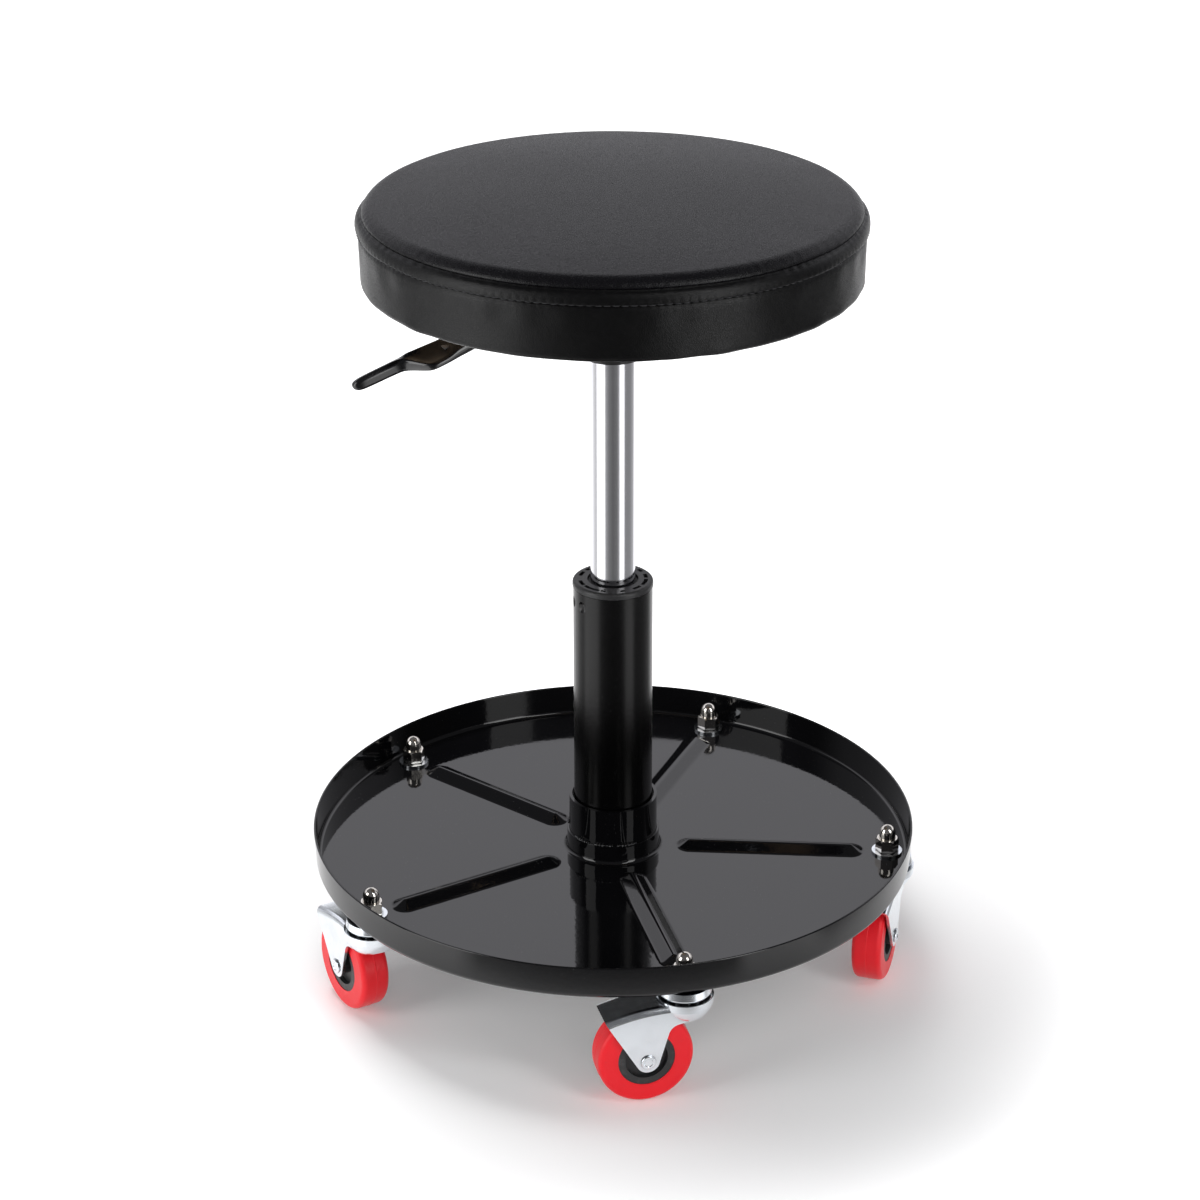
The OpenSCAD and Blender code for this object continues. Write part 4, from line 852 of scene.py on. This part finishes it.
def tray_rows():
    """The sheet's section as (radius, height, facing out, facing up, floor), where floor is 1 on the
    floor's upper face, -1 on its underside and 0 elsewhere."""
    floor_z = TRAY_Z + SHEET
    half = SHEET / 2
    edge = (RIM_EDGE_R - half, RIM_TOP_Z - half)
    lean = math.radians(RIM_LEAN)
    middle_r = RIM_BEND_R + half
    run = (edge[1] - floor_z - RIM_BEND_R + middle_r * math.sin(lean)) / math.cos(lean)
    bend = (edge[0] - middle_r * math.cos(lean) - run * math.sin(lean), floor_z + RIM_BEND_R)
    fillet = (NECK_OUT_R + NECK_FILLET_R, floor_z + NECK_FILLET_R)
    patch = STUD_PATCH_R
    radii = np.concatenate([
        np.linspace(fillet[0], RIB_START, 5)[1:-1],
        np.linspace(RIB_START, RIB_START + RIB_HALF_W, 14)[:-1],
        np.linspace(RIB_START + RIB_HALF_W, RIB_END - RIB_HALF_W, 46)[:-1],
        np.linspace(RIB_END - RIB_HALF_W, RIB_END, 14)[:-1],
        np.linspace(RIB_END, patch[0], 5)[:-1], patch, np.linspace(patch[-1], bend[0], 4)[1:-1]])
    rows = arc_rows(NECK_OUT_R - LIP_R, NECK_TOP_Z - LIP_R, LIP_R, 90, 0, 4, 1)
    rows += arc_rows(*fillet, NECK_FILLET_R, 180, 270, 12, -1)
    rows += [(r, floor_z, 0, 1, 1) for r in radii]
    rows += arc_rows(*bend, RIM_BEND_R, 270, 360 - RIM_LEAN, 12, -1)
    rows += arc_rows(*edge, half, 180 - RIM_LEAN, -RIM_LEAN, 12, 1)
    rows += arc_rows(*bend, RIM_BEND_R + SHEET, 360 - RIM_LEAN, 270, 12, 1)
    rows += [(r, TRAY_Z, 0, -1, -1) for r in radii[::-1]]
    rows += arc_rows(*fillet, NECK_FILLET_R + SHEET, 270, 180, 12, 1)
    rows += arc_rows(NECK_OUT_R - SHEET + LIP_R, NECK_TOP_Z - LIP_R, LIP_R, 180, 90, 4, 1)
    return rows


STUD_PATCH_R = np.linspace(STUD_RING_R - PATCH_HALF, STUD_RING_R + PATCH_HALF, PATCH_ROWS + 1)


def tray_angles():
    """Angles close together over the ribs and studs and wider apart between them."""
    sector = np.concatenate([np.arange(*steps) for steps in RIB_STEPS])
    return np.concatenate([rib_angle + sector for rib_angle in RIB_ANGLES])


def tray_surface(rows, turn):
    """Points of the sheet without stud holes, and the true direction that its surface has at each."""
    angles = np.radians(turn)
    points, facing = [], []
    for r, z, out, up, floor in rows:
        x, y = r * np.cos(angles), r * np.sin(angles)
        lift, slope_x, slope_y = np.zeros((3, len(turn)))
        if floor:
            for a in np.radians(RIB_ANGLES):
                along, across = x * math.cos(a) + y * math.sin(a), y * math.cos(a) - x * math.sin(a)
                on = (along > RIB_START) & (np.abs(across) < RIB_HALF_W) & (along < RIB_END)
                height, d_along, d_across = rib_lift(along, across)
                lift += np.where(on, height, 0)
                slope_x += np.where(on, d_along * math.cos(a) - d_across * math.sin(a), 0)
                slope_y += np.where(on, d_along * math.sin(a) + d_across * math.cos(a), 0)
            way = np.stack([-slope_x, -slope_y, np.ones(len(turn))], 1) * floor
        else:
            way = np.stack([out * np.cos(angles), out * np.sin(angles), np.full(len(turn), up)], 1)
        points.append(np.stack([x, y, z + lift], 1))
        facing.append(way / np.linalg.norm(way, axis=1)[:, None])
    return np.concatenate(points), np.concatenate(facing)


def stud_patches(rows, turn):
    """The cells left out round each stud, and the loop of points round them on each side of the floor."""
    around = len(turn)
    skip, loops = set(), {1: [], -1: []}
    for i, (r, _, _, _, floor) in enumerate(rows):
        if not floor or abs(r - STUD_PATCH_R[0 if floor > 0 else -1]) > 1e-9:
            continue
        for rib_angle in RIB_ANGLES:
            first = int(np.argmin(np.abs(turn - rib_angle))) - PATCH_COLS // 2
            skip.update((i + m, first + c) for m in range(PATCH_ROWS) for c in range(PATCH_COLS))
            grid = [[(i + m) * around + first + c for c in range(PATCH_COLS + 1)]
                    for m in range(PATCH_ROWS + 1)]
            loops[floor].append(grid[0][:-1] + [row[-1] for row in grid[:-1]]
                                + grid[-1][:0:-1] + [row[0] for row in grid[:0:-1]])
    return skip, loops


def make_tray():
    """The tray as one pressed sheet, with a round hole for each stud."""
    rows = tray_rows()
    turn = tray_angles()
    around = len(turn)
    points, facing = tray_surface(rows, turn)
    skip, loops = stud_patches(rows, turn)
    cells = [(i, j) for i in range(len(rows)) for j in range(around)]
    faces = [face[::-1] for cell, face in zip(cells, grid_faces(len(rows), around, closed_rows=True))
             if cell not in skip]
    extra, ways = [], []
    for k, a in enumerate(np.radians(RIB_ANGLES)):
        middle = np.array([STUD_RING_R * math.cos(a), STUD_RING_R * math.sin(a)])
        holes = []
        for floor, height in ((1, TRAY_Z + SHEET), (-1, TRAY_Z)):
            loop = loops[floor][k]
            start = len(points) + len(extra)
            order = []
            for index in loop:
                to = points[index][:2] - middle
                to = to / np.linalg.norm(to)
                extra.append((*(middle + to * STUD_HOLE_R), height))
                ways.append((0, 0, floor))
                order.append((math.atan2(to[1], to[0]), start + len(order)))
            for m in range(len(loop)):
                n = (m + 1) % len(loop)
                faces.append((loop[m], start + m, start + n, loop[n]))
            holes.append([index for _, index in sorted(order)])
        up, down = holes
        for m in range(len(up)):
            n = (m + 1) % len(up)
            faces.append((up[m], up[n], down[n], down[m]))
    points = np.concatenate([points, np.array(extra)])
    facing = np.concatenate([facing, np.array(ways, float)])
    tray = new_piece("pressed_tray", points, faces, TRAY_PAINT, "base", "tray_paint")
    turn_outwards(tray)
    tray.data.normals_split_custom_set_from_vertices([tuple(w) for w in facing])
    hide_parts("tray")
    return tray


def turn_outwards(piece):
    """Turns every face outwards."""
    shell = bmesh.new()
    shell.from_mesh(piece.data)
    bmesh.ops.recalc_face_normals(shell, faces=shell.faces)
    shell.to_mesh(piece.data)
    shell.free()


# Tack welds round the neck: their middle angles and the angle that each covers, in degrees
WELD_ANGLES = (225, 257, 288, 45, 108, 160)
WELD_SPREAD = 26
WELD_R = 0.00165
WELD_STEPS, WELD_SIDES = 40, 14
SOCKET_R = 0.02825


def make_welds():
    """Lumpy tack welds, each a short bead with the ripples of its puddle."""
    draw = np.random.default_rng(SEED + 30)
    beads = []
    for middle in WELD_ANGLES:
        start = math.radians(middle - WELD_SPREAD / 2)
        phase = draw.uniform(0, 6.28)
        points = []
        for t in np.arange(WELD_STEPS + 1) / WELD_STEPS:
            a = start + math.radians(WELD_SPREAD) * t
            end = math.sin(math.pi * min(max(t, 0.012), 0.988)) ** 0.35
            size = WELD_R * end * (1 + 0.10 * math.sin(t * 42 + phase) + 0.05 * draw.normal())
            for k in range(WELD_SIDES):
                b = 2 * math.pi * k / WELD_SIDES
                r = SOCKET_R + 0.0006 + size * math.cos(b)
                z = NECK_TOP_Z + 0.0002 + size * 0.85 * math.sin(b)
                points.append((r * math.cos(a), r * math.sin(a), z))
        beads.append((points, rod_faces(WELD_STEPS + 1, WELD_SIDES)))
    welds = new_piece("weld_beads", *joined(beads), TRAY_PAINT, "base", "tray_paint")
    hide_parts("socket_welds")
    return welds


make_cover()
make_stitches()
make_staples()
make_foam_pad()
make_grip()
make_tray()
make_welds()


# Studio: a white floor and world, brighter or dimmer by direction for what mirrors them, as a studio
# with two lit walls and open dark ends is. Each pair is a direction in degrees round the column from
# straight in front, to the right positive, and the level there.
ROOM_LEVELS = [(-180, 1.2), (-140, 1.15), (-110, 0.70), (-90, 0.55), (-84, 1.25), (-44, 1.20), (-36, 0.36),
               (-20, 0.19), (0, 0.12), (22, 0.16), (32, 0.36), (37, 1.10), (57, 1.10), (64, 0.26), (98, 0.30),
               (125, 0.62), (140, 1.15), (180, 1.2)]
ROOM_TOP = 1.5
FLOOR_WHITE = 0.88
FLOOR_GLOW = 0.16
FAR_GLOW = 0.84
NEAR_FLOOR, FAR_FLOOR = 0.18, 0.50
PAPER_EDGE = (0.28, 0.34)
PAPER_LEVEL = 0.9
MIRROR_GLOW_FROM = 0.6
COOL_WHITE = (0.955, 0.950, 1.0, 1)
WORLD_FILL = 0.50
ROOM_DIM = 0.12
HORIZON_LEVEL = 0.75
WALL_FOOT, WALL_HEAD = 0.38, 1.35
# Where the world changes, as the part of a direction that points back (Y) or up (Z)
BEHIND_Y, WALL_RISE_Z, WALL_END_Z, LOW_Z = (-0.15, 0.35), (0.15, 0.62), (0.56, 0.65), (0.04, 0.16)


def room_group():
    """The room's level in a direction, from a place or direction round the column."""
    group, kit, src, out = new_group("room_level", [("Place", "Vector", (0, 0, 0))], [("Level", "Float")])
    spot = kit.add("ShaderNodeSeparateXYZ")
    kit.join(src.outputs["Place"], spot.inputs[0])
    turn = kit.math("ARCTAN2", spot.outputs["X"], kit.math("MULTIPLY", spot.outputs["Y"], -1.0))
    share = kit.math("ADD", kit.math("DIVIDE", turn, 2 * math.pi), 0.5)
    tones = kit.add("ShaderNodeValToRGB")
    kit.join(share, tones.inputs["Fac"])
    stops = tones.color_ramp.elements
    stops[0].color = stops[1].color = (*[ROOM_LEVELS[0][1] / ROOM_TOP] * 3, 1)
    for angle, level in ROOM_LEVELS[1:-1]:
        stops.new(angle / 360 + 0.5).color = (*[level / ROOM_TOP] * 3, 1)
    kit.join(kit.math("MULTIPLY", tones.outputs["Color"], ROOM_TOP), out.inputs["Level"])
    return group


ROOM_LEVEL = room_group()


def ray_kinds(kit):
    """Whether the camera sees the surface, and whether gloss or glass does."""
    path = kit.add("ShaderNodeLightPath")
    mirrored = kit.math("MAXIMUM", path.outputs["Is Glossy Ray"], path.outputs["Is Transmission Ray"])
    return path.outputs["Is Camera Ray"], mirrored


def pale_floor():
    """White paper that keeps the shadow near the object and is plain white farther out."""
    size = 9.0
    mesh = bpy.data.meshes.new("studio_floor")
    corners = [(-size, -size, 0), (size, -size, 0), (size, size, 0), (-size, size, 0)]
    mesh.from_pydata(corners, [], [(0, 1, 2, 3)])
    floor = bpy.data.objects.new("studio_floor", mesh)
    bpy.context.scene.collection.objects.link(floor)
    finish = bpy.data.materials.new("studio_white")
    finish.use_nodes = True
    kit = Nodes(finish.node_tree)
    kit.tree.nodes.clear()
    out = kit.add("ShaderNodeOutputMaterial")
    seen, mirrored = ray_kinds(kit)
    place = kit.place()
    distance = kit.add("ShaderNodeVectorMath", operation="LENGTH")
    kit.join(place, distance.inputs[0])
    far = kit.ramp(distance.outputs["Value"], NEAR_FLOOR, FAR_FLOOR)
    room = placed(kit, ROOM_LEVEL, Place=place)
    level = kit.ramp(distance.outputs["Value"], *PAPER_EDGE, PAPER_LEVEL, room.outputs["Level"])
    lit = kit.math("MAXIMUM", kit.math("SUBTRACT", 1.0, mirrored), level)
    tone = kit.math("MULTIPLY", kit.math("MINIMUM", lit, 1.0), FLOOR_WHITE)
    paper = kit.put(kit.add("ShaderNodeBsdfDiffuse"), Color=tone)
    camera_glow = kit.math("MULTIPLY", seen, kit.ramp(far, 0.0, 1.0, FLOOR_GLOW, FAR_GLOW))
    mirror_glow = kit.math("MULTIPLY", mirrored, kit.math("SUBTRACT", level, MIRROR_GLOW_FROM, True))
    glow = kit.put(kit.add("ShaderNodeEmission"), Strength=kit.math("ADD", camera_glow, mirror_glow))
    both = kit.add("ShaderNodeAddShader")
    kit.join(paper.outputs[0], both.inputs[0])
    kit.join(glow.outputs[0], both.inputs[1])
    kit.join(both.outputs[0], out.inputs["Surface"])
    mesh.materials.append(finish)
    return floor


def soft_box(name, at, towards, size, power, mirrored=True):
    """A flat lamp that the camera doesn't see, and gloss only where mirrored is set."""
    data = bpy.data.lights.new(name, "AREA")
    data.shape = "RECTANGLE"
    data.size, data.size_y = size
    data.energy = power
    lamp = bpy.data.objects.new(name, data)
    bpy.context.scene.collection.objects.link(lamp)
    lamp.location = at
    lamp.rotation_euler = (Vector(towards) - Vector(at)).to_track_quat("-Z", "Y").to_euler()
    lamp.visible_camera = False
    lamp.visible_glossy = mirrored
    return lamp


def studio_world():
    """White for the camera and behind the object. Near the horizon it has the room's levels, and
    higher up in front of the object it is dim."""
    world = bpy.data.worlds.new("studio_world")
    bpy.context.scene.world = world
    world.use_nodes = True
    kit = Nodes(world.node_tree)
    kit.tree.nodes.clear()
    out = kit.add("ShaderNodeOutputWorld")
    ground = kit.add("ShaderNodeBackground")
    seen, mirrored = ray_kinds(kit)
    spot = kit.add("ShaderNodeSeparateXYZ")
    way = kit.add("ShaderNodeTexCoord").outputs["Generated"]
    kit.join(way, spot.inputs[0])
    around = placed(kit, ROOM_LEVEL, Place=way)
    behind = kit.ramp(spot.outputs["Y"], *BEHIND_Y)
    rise = kit.ramp(spot.outputs["Z"], *WALL_RISE_Z, WALL_FOOT, WALL_HEAD)
    above = kit.ramp(behind, 0.0, 1.0, ROOM_DIM, rise)
    wall = kit.ramp(spot.outputs["Z"], *WALL_END_Z, above, ROOM_DIM)
    low = kit.ramp(spot.outputs["Z"], *LOW_Z, 1.0, 0.0)
    room = kit.ramp(low, 0.0, 1.0, wall, kit.math("MINIMUM", around.outputs["Level"], HORIZON_LEVEL))
    fill = kit.ramp(behind, 0.0, 1.0, ROOM_DIM * WORLD_FILL, WORLD_FILL)
    level = kit.ramp(mirrored, 0.0, 1.0, fill, room)
    kit.put(ground, Strength=kit.ramp(seen, 0.0, 1.0, level, 1.0),
            Color=kit.mix(seen, COOL_WHITE, (1, 1, 1, 1)))
    kit.join(ground.outputs[0], out.inputs["Surface"])


pale_floor()
studio_world()
soft_box("left_box", (-1.75, -0.95, 0.75), (0, 0, 0.3), (1.0, 1.9), 20)
soft_box("right_box", (1.25, -1.25, 0.75), (0, 0, 0.3), (0.55, 1.9), 12)
soft_box("top_box", (-0.5, 0.7, 2.4), (0, 0, 0.1), (1.1, 0.9), 40, mirrored=False)
soft_box("seam_box", (0.9, -1.3, 2.0), (0, 0, 0.5), (0.4, 0.4), 3)
soft_box("front_box", (0.1, -2.3, 1.0), (0, 0, 0.15), (1.4, 1.4), 12, mirrored=False)

scene = bpy.context.scene
scene.view_settings.view_transform = "Standard"

camera_data = bpy.data.cameras.new("photo_camera")
camera = bpy.data.objects.new("photo_camera", camera_data)
scene.collection.objects.link(camera)
camera.location = CAMERA_AT
camera.rotation_mode = "XYZ"
camera.rotation_euler = (math.radians(90 - CAMERA_PITCH), math.radians(CAMERA_ROLL), 0)
camera_data.sensor_width = 36
camera_data.lens = CAMERA_LENS
camera_data.shift_x = CAMERA_SHIFT_X
camera_data.clip_start, camera_data.clip_end = 0.05, 60
scene.camera = camera
